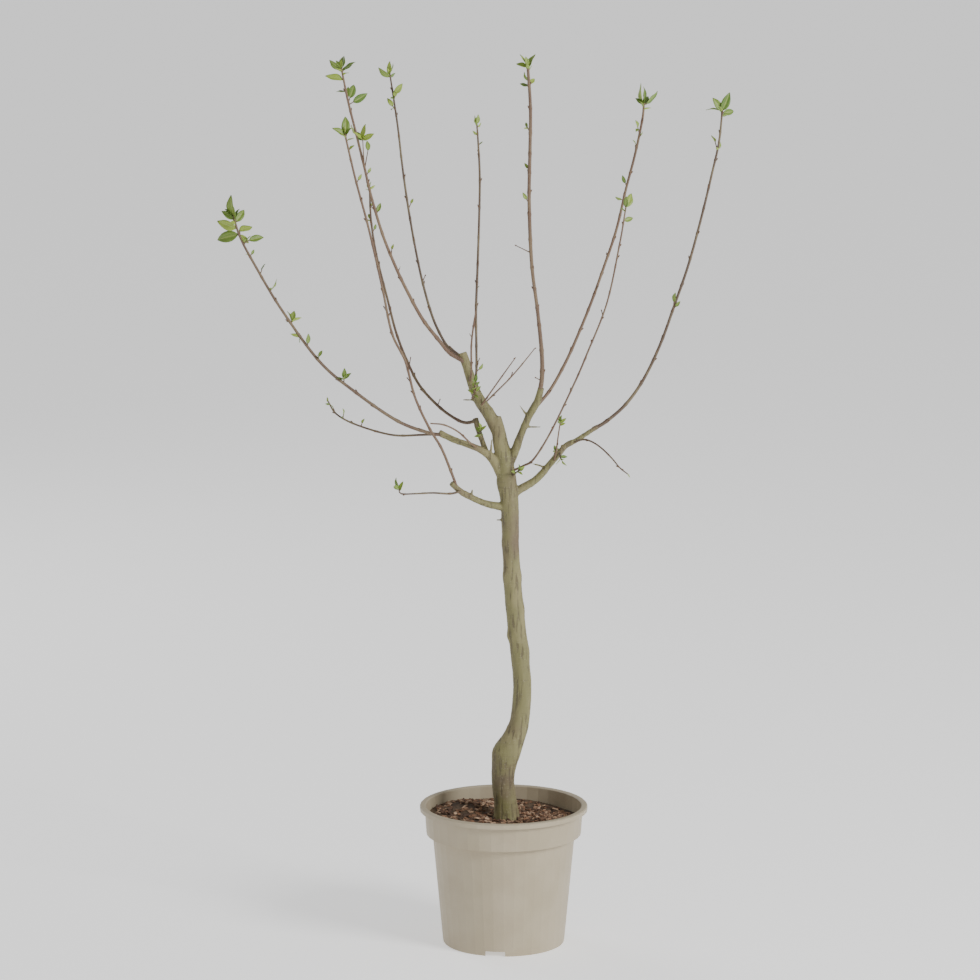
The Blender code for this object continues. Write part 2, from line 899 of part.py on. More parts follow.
def swell_trunk(obj):
    """Push the bark out round each knot, towards the side the knot is on."""
    for side, height, rise, reach in TRUNK_KNOTS:
        for vertex in obj.data.vertices:
            place = obj.matrix_world @ vertex.co
            near = math.exp(-(((place.z / MM - height) / reach) ** 2))
            outward = Vector((side, KNOT_FORWARD, 0)).normalized()
            from_middle = vertex.normal.xy.to_3d()
            facing = max(0.0, from_middle.dot(outward))
            vertex.co += outward * (rise * near * facing * facing * MM)


def level_foot(obj, height):
    """Bring the foot's rim onto one level plane."""
    lowest = min((obj.matrix_world @ vertex.co).z for vertex in obj.data.vertices)
    for vertex in obj.data.vertices:
        place = obj.matrix_world @ vertex.co
        if place.z < lowest + TRUNK_FOOT_RIM:
            place.z = height
            vertex.co = obj.matrix_world.inverted() @ place


def facing(direction, face):
    """The turn that lays local Z along a direction and local Y towards a face."""
    along = direction.normalized()
    across = face.cross(along).normalized()
    return Matrix((across, along.cross(across), along)).transposed()


def place_on_line(line, height):
    """The point of a line, with its radius, at a height seen on the plane."""
    target = height * MM
    best = None
    for first, second in zip(line, line[1:]):
        for step in range(LINE_SAMPLES):
            spot = first.lerp(second, step / LINE_SAMPLES)
            miss = abs(seen_height(spot.xyz) - target)
            if best is None or miss < best[0]:
                best = (miss, spot)
    return best[1]


def seen_height(place):
    """The height at which the viewpoint sees a place against the plane through the pot."""
    share = VIEWPOINT.y / (VIEWPOINT.y - place.y)
    return VIEWPOINT.z + (place.z - VIEWPOINT.z) * share


def leaning(lean, depth_lean):
    """A heading that leans from straight up by an angle to the right and by another to the back."""
    side, back = math.radians(lean), math.radians(depth_lean)
    return Vector((math.sin(side) * math.cos(back), math.sin(back), math.cos(side) * math.cos(back)))


def twig(start, end, radius, group):
    """A three-sided tapering twig."""
    bm = bmesh.new()
    bmesh.ops.create_cone(
        bm, segments=3, radius1=radius, radius2=TWIG_TAPER * radius, depth=(end - start).length, cap_ends=True
    )
    direction = end - start
    side = Vector((1, 0, 0)) if abs(direction.normalized().x) < 0.8 else Vector((0, 1, 0))
    bmesh.ops.rotate(bm, verts=bm.verts, matrix=facing(direction, side))
    bmesh.ops.translate(bm, verts=bm.verts, vec=(start + end) / 2)
    return mesh_object("twig", bm, group)


def leaf(root, direction, face, length, group):
    """A pointed leaf of eight faces that grows from its root."""
    bm = bmesh.new()
    bmesh.ops.create_uvsphere(bm, u_segments=4, v_segments=2, radius=0.5)
    size = (length * LEAF_WIDTH_SHARE, length * LEAF_THICKNESS_SHARE, length)
    bmesh.ops.scale(bm, verts=bm.verts, vec=size)
    bmesh.ops.translate(bm, verts=bm.verts, vec=(0, 0, length / 2))
    bmesh.ops.rotate(bm, verts=bm.verts, matrix=facing(direction, face))
    bmesh.ops.translate(bm, verts=bm.verts, vec=root)
    return mesh_object("leaf", bm, group)


def plan_tuft(rng, tip, heading, leaves, length, spread, widest):
    """(root, direction, face, length) of leaves that turn round a tip, the lowest leaning out most."""
    side = (VIEWPOINT - tip).cross(heading).cross(heading).normalized()
    start_turn = rng.uniform(-LEAF_TURN, LEAF_TURN)
    plans = []
    for index in range(leaves):
        share = index / max(1, leaves - 1)
        turn = Matrix.Rotation(start_turn + index * GOLDEN_TURN, 3, heading)
        outward = turn @ side
        tilt = math.radians(9 + (widest - 9) * share + rng.uniform(-8, 8))
        direction = heading * math.cos(tilt) + outward * math.sin(tilt)
        roll = Matrix.Rotation(math.radians(rng.uniform(-65, 65)), 3, direction)
        face = roll @ (heading * math.sin(tilt) - outward * math.cos(tilt))
        size = length * MM * (1 - 0.15 * share + rng.uniform(-0.06, 0.06))
        back = spread * MM * share + 1.5 * MM
        root = tip - heading * back + outward * 0.2 * MM
        plans.append((root, direction, face, size))
    return plans


class Space:
    """What the limbs and leaves already fill, so that a leaf or spur never runs into another piece."""

    def __init__(self):
        self.filled = []

    def fill(self, owner, start, end, radius):
        self.filled.append((owner, start, end, radius))

    def fill_line(self, owner, line):
        for first, second in zip(line, line[1:]):
            self.fill(owner, first.xyz, second.xyz, max(first.w, second.w))

    def is_clear(self, owner, start, end, radius):
        spots = [start.lerp(end, share) for share in (0.25, 0.5, 0.75, 1.0)]
        for other, first, second, other_radius in self.filled:
            if other == owner:
                continue
            keep = radius + other_radius + LEAF_CLEARANCE
            for spot in spots:
                near, share = intersect_point_line(spot, first, second)
                near = first if share < 0 else second if share > 1 else near
                if (near - spot).length < keep:
                    return False
        return True


def grow_leaves(plans, owner, space, group):
    """Fuse-ready leaves for the plans that have room."""
    for root, direction, face, size in plans:
        end = root + direction * size
        half_width = 0.5 * size * LEAF_WIDTH_SHARE
        if space.is_clear(owner, root, end, half_width):
            space.fill(owner, root, end, half_width)
            leaf(root, direction, face, size, group)


def grow_sprouts(name, plan, line, space, group):
    """The spurs, side sprouts and tip leaves of one shoot, by a rule seeded with the shoot's name."""
    rng = random.Random(name)
    for height, lean, reach, leaves, length in plan["sprouts"]:
        spot = place_on_line(line, height)
        heading = leaning(lean, rng.uniform(-30, 30))
        start = spot.xyz
        end = start + heading * (reach * MM + spot.w)
        plans = plan_tuft(rng, end, heading, leaves, length, SPROUT_SPREAD, SPROUT_TILT)
        if space.is_clear(name, start, end, TWIG_RADIUS):
            space.fill(name, start, end, TWIG_RADIUS)
            twig(start, end, TWIG_RADIUS, group)
            grow_leaves(plans, name, space, group)
    heading = (line[-1].xyz - line[-2].xyz).normalized()
    grow_leaves(plan_tuft(rng, line[-1].xyz, heading, *plan["tuft"]), name, space, group)


def fuse(obj, group):
    """Join everything in the collection to the object, then remove the collection's objects."""
    if group.objects:
        boolean(obj, "UNION", group)
        obj = applied(obj)
    for piece in list(group.objects):
        bpy.data.objects.remove(piece)
    bpy.data.collections.remove(group)
    return obj


def make_boughs(lines, parts, cutters):
    """The trunk and the boughs, each bough cut 0.3 mm clear of the limb it leaves."""
    made = {}
    parents = {
        "trunk": None,
        "leader": "trunk",
        "bough_left_low": "trunk",
        "bough_left_mid": "trunk",
        "bough_left_stub": "bough_left_mid",
        "bough_right_mid": "trunk",
        "bough_right_low": "trunk",
    }
    for name, parent in parents.items():
        sides = TRUNK_SIDES if name == "trunk" else BOUGH_SIDES
        obj = tube(name, lines[name], sides, parts)
        cutter = tube(name + " cutter", lines[name], sides, cutters, grow=CUTTER_GROW)
        if name == "trunk":
            swell_trunk(obj)
            swell_trunk(cutter)
            level_foot(obj, TRUNK_ROUTE[0][1] * MM)
        made[name] = as_cutter(cutter)
        spurs = new_collection(name + " spurs")
        for height, lean, reach in BOUGH_SPURS.get(name, ()):
            spot = place_on_line(lines[name], height)
            tip = spot.xyz + leaning(lean, SPUR_FORWARD_LEAN) * (reach * MM)
            twig(spot.xyz, tip, SPUR_RADIUS, spurs)
        obj = fuse(obj, spurs)
        if parent:
            boolean(obj, "DIFFERENCE", made[parent])
            applied(obj)
    return made


def make_shoots(lines, cutters_by_name, space, parts):
    """Every shoot, twig and leafy sprout: one stem with its spurs and leaves fused on."""
    for name, plan in SHOOTS.items():
        obj = tube(name, lines[name], SHOOT_SIDES, parts)
        group = new_collection(name + " leaves")
        grow_sprouts(name, plan, lines[name], space, group)
        obj = fuse(obj, group)
        boolean(obj, "DIFFERENCE", cutters_by_name[plan["parent"]])
        applied(obj)


def main():
    clear_scene()
    parts = new_collection(TREE_NAME)
    cutters = new_collection("cutters")
    root = bpy.data.objects.new("stand point", None)
    parts.objects.link(root)

    make_pot(parts, cutters)
    make_compost(parts)

    bough_routes = {
        "trunk": TRUNK_ROUTE,
        "leader": LEADER_ROUTE,
        "bough_left_low": LEFT_LOW_ROUTE,
        "bough_left_mid": LEFT_MID_ROUTE,
        "bough_left_stub": LEFT_STUB_ROUTE,
        "bough_right_mid": RIGHT_MID_ROUTE,
        "bough_right_low": RIGHT_LOW_ROUTE,
    }
    lines = {name: smooth_line(route, BOUGH_SPACING) for name, route in bough_routes.items()}
    lines |= {name: smooth_line(plan["route"], SHOOT_SPACING) for name, plan in SHOOTS.items()}
    space = Space()
    for name, line in lines.items():
        space.fill_line(name, line)

    cutters_by_name = make_boughs(lines, parts, cutters)
    make_shoots(lines, cutters_by_name, space, parts)

    looks = {
        "pot": material("taupe plastic", (0.42, 0.36, 0.25), 0.5),
        "compost": material("bark compost", (0.16, 0.10, 0.06), 0.95),
        "bough": material("olive bark", (0.27, 0.24, 0.12), 0.8),
        "shoot": material("young shoot in leaf", (0.22, 0.26, 0.07), 0.7),
    }
    for obj in list(parts.objects):
        if obj.type != "MESH":
            continue
        if obj.name in looks:
            look = looks[obj.name]
        else:
            look = looks["bough" if obj.name in bough_routes else "shoot"]
        finish(obj, look, root)


main()
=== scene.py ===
# %% [markdown]
# # A young greengage plum tree in a nursery pot
# The tree is a bare olive trunk with cut-back boughs, slender year-old shoots and the first leaves of
# spring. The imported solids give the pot, the trunk and every limb its place. This lesson grows the bark,
# the shoots and the leaves again at a finer grain on the same routes, so that the looks never leave
# the solids.

import json
import math
import random

import bmesh
import bpy
from mathutils import Matrix, Vector, noise
from mathutils.geometry import intersect_point_line

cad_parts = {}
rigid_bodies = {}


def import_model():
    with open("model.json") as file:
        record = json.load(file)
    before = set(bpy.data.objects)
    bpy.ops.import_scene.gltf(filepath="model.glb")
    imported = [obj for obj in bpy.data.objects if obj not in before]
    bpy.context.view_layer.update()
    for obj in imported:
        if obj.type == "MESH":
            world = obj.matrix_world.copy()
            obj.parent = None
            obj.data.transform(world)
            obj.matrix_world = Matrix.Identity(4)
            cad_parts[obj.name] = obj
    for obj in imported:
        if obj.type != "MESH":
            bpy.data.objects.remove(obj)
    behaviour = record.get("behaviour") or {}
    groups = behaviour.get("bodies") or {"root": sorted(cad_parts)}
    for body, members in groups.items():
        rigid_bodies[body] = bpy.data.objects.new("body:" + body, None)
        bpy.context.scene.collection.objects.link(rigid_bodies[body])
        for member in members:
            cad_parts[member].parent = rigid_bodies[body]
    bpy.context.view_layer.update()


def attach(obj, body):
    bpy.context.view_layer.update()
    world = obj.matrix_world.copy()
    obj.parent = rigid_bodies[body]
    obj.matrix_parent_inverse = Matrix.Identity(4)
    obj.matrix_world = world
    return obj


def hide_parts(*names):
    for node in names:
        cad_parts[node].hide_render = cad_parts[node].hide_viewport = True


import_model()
MM = 0.001

# %% [markdown]
# ## Camera
# A long lens from 5 m away keeps upright lines upright. The camera stands a little above the top of the
# tree and looks down at it, which opens the pot's rim into an ellipse. Its place was found from that
# ellipse and from those of the pot's collar and foot.

# %% Camera
VIEWPOINT = Vector((0.0, -5.0, 1.444))
LOOK_DOWN = math.radians(9.56)
LOOK_LEFT = math.radians(0.206)
LENS = 143.9
SENSOR = 36

camera_data = bpy.data.cameras.new("camera")
camera_data.lens = LENS
camera_data.sensor_width = SENSOR
camera = bpy.data.objects.new("camera", camera_data)
camera.location = VIEWPOINT
camera.rotation_euler = (math.pi / 2 - LOOK_DOWN, 0, LOOK_LEFT)
bpy.context.scene.collection.objects.link(camera)
bpy.context.scene.camera = camera
print("camera", tuple(camera.location), "lens", camera_data.lens)

# %% [markdown]
# ## Light
# A studio shot of a plant has one big soft light to the right, a weak one from behind on the left that
# picks out the twigs, and a pale room that fills the shadows. Area lights are soft because they are
# large, so their size matters as much as their power.

# %% Lights
TREE_MIDDLE = Vector((0, 0, 0.6))


def area_light(name, place, size, power):
    """A square soft light that faces the middle of the tree."""
    data = bpy.data.lights.new(name, "AREA")
    data.size = size
    data.energy = power
    light = bpy.data.objects.new(name, data)
    light.location = place
    light.rotation_euler = (TREE_MIDDLE - Vector(place)).to_track_quat("-Z", "Y").to_euler()
    bpy.context.scene.collection.objects.link(light)
    print(name, "light of", power, "W,", size, "m across")


area_light("key", (3.0, -2.4, 2.4), size=1.4, power=150)
area_light("rim", (-2.2, 2.6, 2.2), size=1.6, power=30)

# %% [markdown]
# ## Shader sums
# A pattern is easier to read as a sum than as a web of nodes. A small class wraps a socket, so that
# adding or multiplying two values adds the Math node that does it. Another holds one material, and has
# a method for each thing that the finishes need: soft noise, a smooth step, a mix of two colours.


# %% Values
def feed(tree, socket, given):
    """Link a value to a socket, or set the socket to a plain number or colour."""
    if isinstance(given, Value):
        tree.links.new(given.socket, socket)
    elif isinstance(given, tuple) and socket.type == "RGBA":
        socket.default_value = (*given, 1.0)
    else:
        socket.default_value = given


class Value:
    """A shader socket that can be used in Python sums."""

    def __init__(self, tree, socket):
        self.tree = tree
        self.socket = socket

    def combined(self, operation, first, second):
        node = self.tree.nodes.new("ShaderNodeMath")
        node.operation = operation
        feed(self.tree, node.inputs[0], first)
        feed(self.tree, node.inputs[1], second)
        return Value(self.tree, node.outputs[0])

    def __add__(self, other):
        return self.combined("ADD", self, other)

    def __radd__(self, other):
        return self.combined("ADD", other, self)

    def __sub__(self, other):
        return self.combined("SUBTRACT", self, other)

    def __rsub__(self, other):
        return self.combined("SUBTRACT", other, self)

    def __mul__(self, other):
        return self.combined("MULTIPLY", self, other)

    def __rmul__(self, other):
        return self.combined("MULTIPLY", other, self)


print("values can be added, subtracted and multiplied")


# %% Looks
class Look:
    """A material whose patterns lie on Object coordinates."""

    def __init__(self, name, roughness):
        self.material = bpy.data.materials.new(name)
        self.material.use_nodes = True
        self.tree = self.material.node_tree
        self.shader = self.tree.nodes["Principled BSDF"]
        self.shader.inputs["Roughness"].default_value = roughness

    def node(self, kind, settings, inputs, output=0):
        """Any node: its settings first, then the values or links of its sockets."""
        node = self.tree.nodes.new("ShaderNode" + kind)
        for key, setting in settings.items():
            setattr(node, key, setting)
        for key, given in inputs.items():
            feed(self.tree, node.inputs[key], given)
        return Value(self.tree, node.outputs[output])

    def cloud(self, per_metre, detail, stretch=(1, 1, 1)):
        """Soft noise from 0 to 1, with so many features to the metre."""
        spot = self.node("TexCoord", {}, {}, "Object")
        place = self.node("Mapping", {}, {"Vector": spot, "Scale": stretch})
        return self.node("TexNoise", {}, {"Vector": place, "Scale": per_metre, "Detail": detail})

    def step(self, value, low, high):
        """0 below low, 1 above high, and smooth between."""
        settings = {"interpolation_type": "SMOOTHSTEP"}
        return self.node("MapRange", settings, {"Value": value, "From Min": low, "From Max": high})

    def mix(self, share, first, second):
        """The first colour where the share is 0, and the second where it is 1."""
        return self.node("Mix", {"data_type": "RGBA"}, {0: share, 6: first, 7: second}, 2)

    def attribute(self, name):
        return self.node("Attribute", {"attribute_name": name}, {}, "Fac")

    def paint(self, colour, height=None, depth=0.0, roughness=None):
        """Give the shader its colour, its bump and its roughness."""
        feed(self.tree, self.shader.inputs["Base Color"], colour)
        if roughness is not None:
            feed(self.tree, self.shader.inputs["Roughness"], roughness)
        if height is not None:
            bump = self.node("Bump", {}, {"Height": height, "Distance": depth, "Strength": 1.0})
            feed(self.tree, self.shader.inputs["Normal"], bump)
        return self.material


def add_object(name, data, look=None):
    """An object in the scene, with its material."""
    obj = bpy.data.objects.new(name, data)
    bpy.context.scene.collection.objects.link(obj)
    if look:
        obj.data.materials.append(look)
    return obj


print("noise, step, mix and attribute are ready")

# %% [markdown]
# ## Pale room and floor
# Plants are shot on a pale sweep that runs up behind them with no edge. A very large floor does the
# same: from this height the far edge lies above the picture. The floor glows a little, which keeps its
# shadow faint.

# %% Room
ROOM_LIGHT = 0.4
ROOM_SEEN = 1.0

world = bpy.data.worlds.new("pale room")
world.use_nodes = True
room = world.node_tree.nodes["Background"]
room.inputs["Color"].default_value = (1, 1, 1, 1)
seen_by_camera = world.node_tree.nodes.new("ShaderNodeLightPath").outputs["Is Camera Ray"]
brightness = world.node_tree.nodes.new("ShaderNodeMapRange")
brightness.inputs["To Min"].default_value = ROOM_LIGHT
brightness.inputs["To Max"].default_value = ROOM_SEEN
world.node_tree.links.new(seen_by_camera, brightness.inputs["Value"])
world.node_tree.links.new(brightness.outputs["Result"], room.inputs["Strength"])
bpy.context.scene.world = world
print("room light", ROOM_LIGHT)

# %% Floor
FLOOR_SIZE = 100
FLOOR_GLOW = 0.6
FLOOR_GREY = (0.93, 0.93, 0.93)
FLOOR_WHITE = (0.95, 0.95, 0.95)


def floor_finish():
    look = Look("pale floor", roughness=0.9)
    look.shader.inputs["Emission Color"].default_value = (1, 1, 1, 1)
    look.shader.inputs["Emission Strength"].default_value = FLOOR_GLOW
    return look.paint(look.mix(look.cloud(per_metre=3, detail=2), FLOOR_GREY, FLOOR_WHITE))


floor_shape = bmesh.new()
bmesh.ops.create_grid(floor_shape, x_segments=1, y_segments=1, size=FLOOR_SIZE / 2)
floor_mesh = bpy.data.meshes.new("floor")
floor_shape.to_mesh(floor_mesh)
floor_shape.free()
floor = add_object("floor", floor_mesh, floor_finish())
print("floor", FLOOR_SIZE, "m across")

# %% [markdown]
# ## Pot
# The pot is moulded in matt taupe plastic. Its solid already has the rim, the collar and the notched
# foot, so the mesh stays as it is and only the material is better: two close tones in slow patches, and
# a fine grain that roughens the shine and the surface together.

# %% Pot finish
POT_SHADE = (0.415, 0.35, 0.24)
POT_LIGHT = (0.455, 0.39, 0.275)


def pot_finish():
    look = Look("taupe plastic", roughness=0.5)
    grain = look.cloud(per_metre=900, detail=3)
    wear = look.step(look.cloud(per_metre=22, detail=5), low=0.35, high=0.7)
    colour = look.mix(wear, POT_SHADE, POT_LIGHT)
    return look.paint(colour, height=grain, depth=0.2 * MM, roughness=0.42 + 0.16 * grain)


def dress(node, look):
    """Put a better material on a solid that keeps its shape."""
    for slot in bpy.data.objects[node].material_slots:
        slot.material = look
    print(node, "wears", look.name)


dress("pot", pot_finish())

# %% [markdown]
# ## Compost
# Under the chips lies dark potting compost. It is a mix of peat crumbs and brown fibre, so its colour
# comes from fine noise with a lighter patch here and there, and its bump is deep for its size.

# %% Compost finish
PEAT_DARK = (0.02, 0.013, 0.008)
PEAT_BROWN = (0.10, 0.06, 0.035)
FIBRE_BROWN = (0.13, 0.085, 0.05)


def compost_finish():
    look = Look("dark compost", roughness=0.95)
    crumbs = look.cloud(per_metre=420, detail=6)
    patches = look.step(look.cloud(per_metre=60, detail=4), low=0.35, high=0.65)
    dark = look.mix(crumbs, PEAT_DARK, PEAT_BROWN)
    return look.paint(look.mix(patches, dark, FIBRE_BROWN), height=crumbs, depth=2 * MM)


dress("compost", compost_finish())

# %% [markdown]
# ## Routes of the limbs
# These rows are the design of the tree, in millimetres: each is (x, height, depth, radius), read on the
# upright plane through the pot's middle as the viewpoint sees it. Depth is how far behind that plane the
# limb really passes, so the crown spreads evenly all round.

# %% Boughs
TRUNK_ROUTE = (
    (4, 167.3, -6, 17.2),
    (2, 190, -6, 14.8),
    (-1, 221, -5, 15.2),
    (4, 254, -3, 16.6),
    (13, 273, -2, 14.8),
    (21, 298, -1, 12.8),
    (24, 345, 0, 12.0),
    (19, 400, 2, 12.0),
    (13, 457, 2, 11.8),
    (9, 525, 0, 11.0),
    (7.5, 583, 0, 11.8),
    (3, 630, 0, 11.0),
    (-4, 662, 0, 10.0),
    (-8, 684, 1, 8.6),
    (-10, 698, 2, 6.2),
)
LEADER_ROUTE = (
    (-5, 672, 1, 8.5),
    (-18, 699, 3, 8.2),
    (-31, 718, 5, 7.4),
    (-40, 739, 7, 6.6),
    (-47, 761, 9, 6.0),
    (-54, 781, 11, 6.2),
)
LEFT_LOW_ROUTE = (
    (6, 579, 0, 6.4),
    (-9, 581, -4, 5.2),
    (-23, 584, -11, 4.4),
    (-40, 591, -20, 4.2),
    (-56, 600, -29, 4.1),
    (-68, 611, -36, 3.8),
)
LEFT_MID_ROUTE = (
    (4, 606, 0, 5.6),
    (-5, 626, -2, 7.0),
    (-14, 642, -4, 6.2),
    (-26, 652, -6, 4.8),
    (-43, 660, -9, 4.2),
    (-63, 667, -12, 4.2),
    (-84, 677, -14, 4.4),
)
LEFT_STUB_ROUTE = (
    (-22, 649, 0, 4.0),
    (-28, 666, 6, 3.7),
    (-33, 681, 10, 3.7),
    (-37, 696, 13, 3.9),
)
RIGHT_MID_ROUTE = (
    (6, 634, 0, 6.6),
    (15, 655, -3, 5.6),
    (24, 680, -8, 4.9),
    (34, 702, -12, 4.8),
    (43, 718, -15, 4.8),
    (48, 736, -18, 4.2),
)
RIGHT_LOW_ROUTE = (
    (6, 594, 0, 6.6),
    (21, 603, 2, 5.6),
    (43, 617, 6, 4.8),
    (62, 639, 10, 4.3),
    (80, 660, 14, 4.0),
    (92, 666, 16, 3.3),
    (107, 676, 18, 3.0),
    (121, 685, 20, 3.3),
)
BARK_ROUTES = {
    "trunk": TRUNK_ROUTE,
    "leader": LEADER_ROUTE,
    "bough_left_low": LEFT_LOW_ROUTE,
    "bough_left_mid": LEFT_MID_ROUTE,
    "bough_left_stub": LEFT_STUB_ROUTE,
    "bough_right_mid": RIGHT_MID_ROUTE,
    "bough_right_low": RIGHT_LOW_ROUTE,
}
print("boughs", len(BARK_ROUTES))

# %% Knots and spurs
# Swellings on the trunk: (x side, height, rise, reach) in millimetres
TRUNK_KNOTS = (
    (-1, 258, 4.2, 11),
    (1, 251, 2.0, 12),
    (1, 446, 2.0, 8),
    (-1, 409, 2.8, 7),
    (1, 392, 2.2, 11),
    (-1, 532, 1.4, 7),
    (1, 489, 1.6, 8),
    (-1, 487, 1.4, 8),
    (-1, 612, 4.2, 15),
)

# Bare spurs that stay on a bough, as (height, lean, reach)
BOUGH_SPURS = {
    "bough_right_mid": ((697, -35, 20), (685, 88, 22)),
    "leader": ((719, -87, 22),),
    "bough_left_low": ((592, 8, 11),),
    "bough_right_low": ((653, 5, 9), (631, -74, 20)),
    "bough_left_mid": ((644, 3, 25),),
    "trunk": ((562, -88, 18),),
}
print("knots", len(TRUNK_KNOTS), "limbs with spurs", len(BOUGH_SPURS))

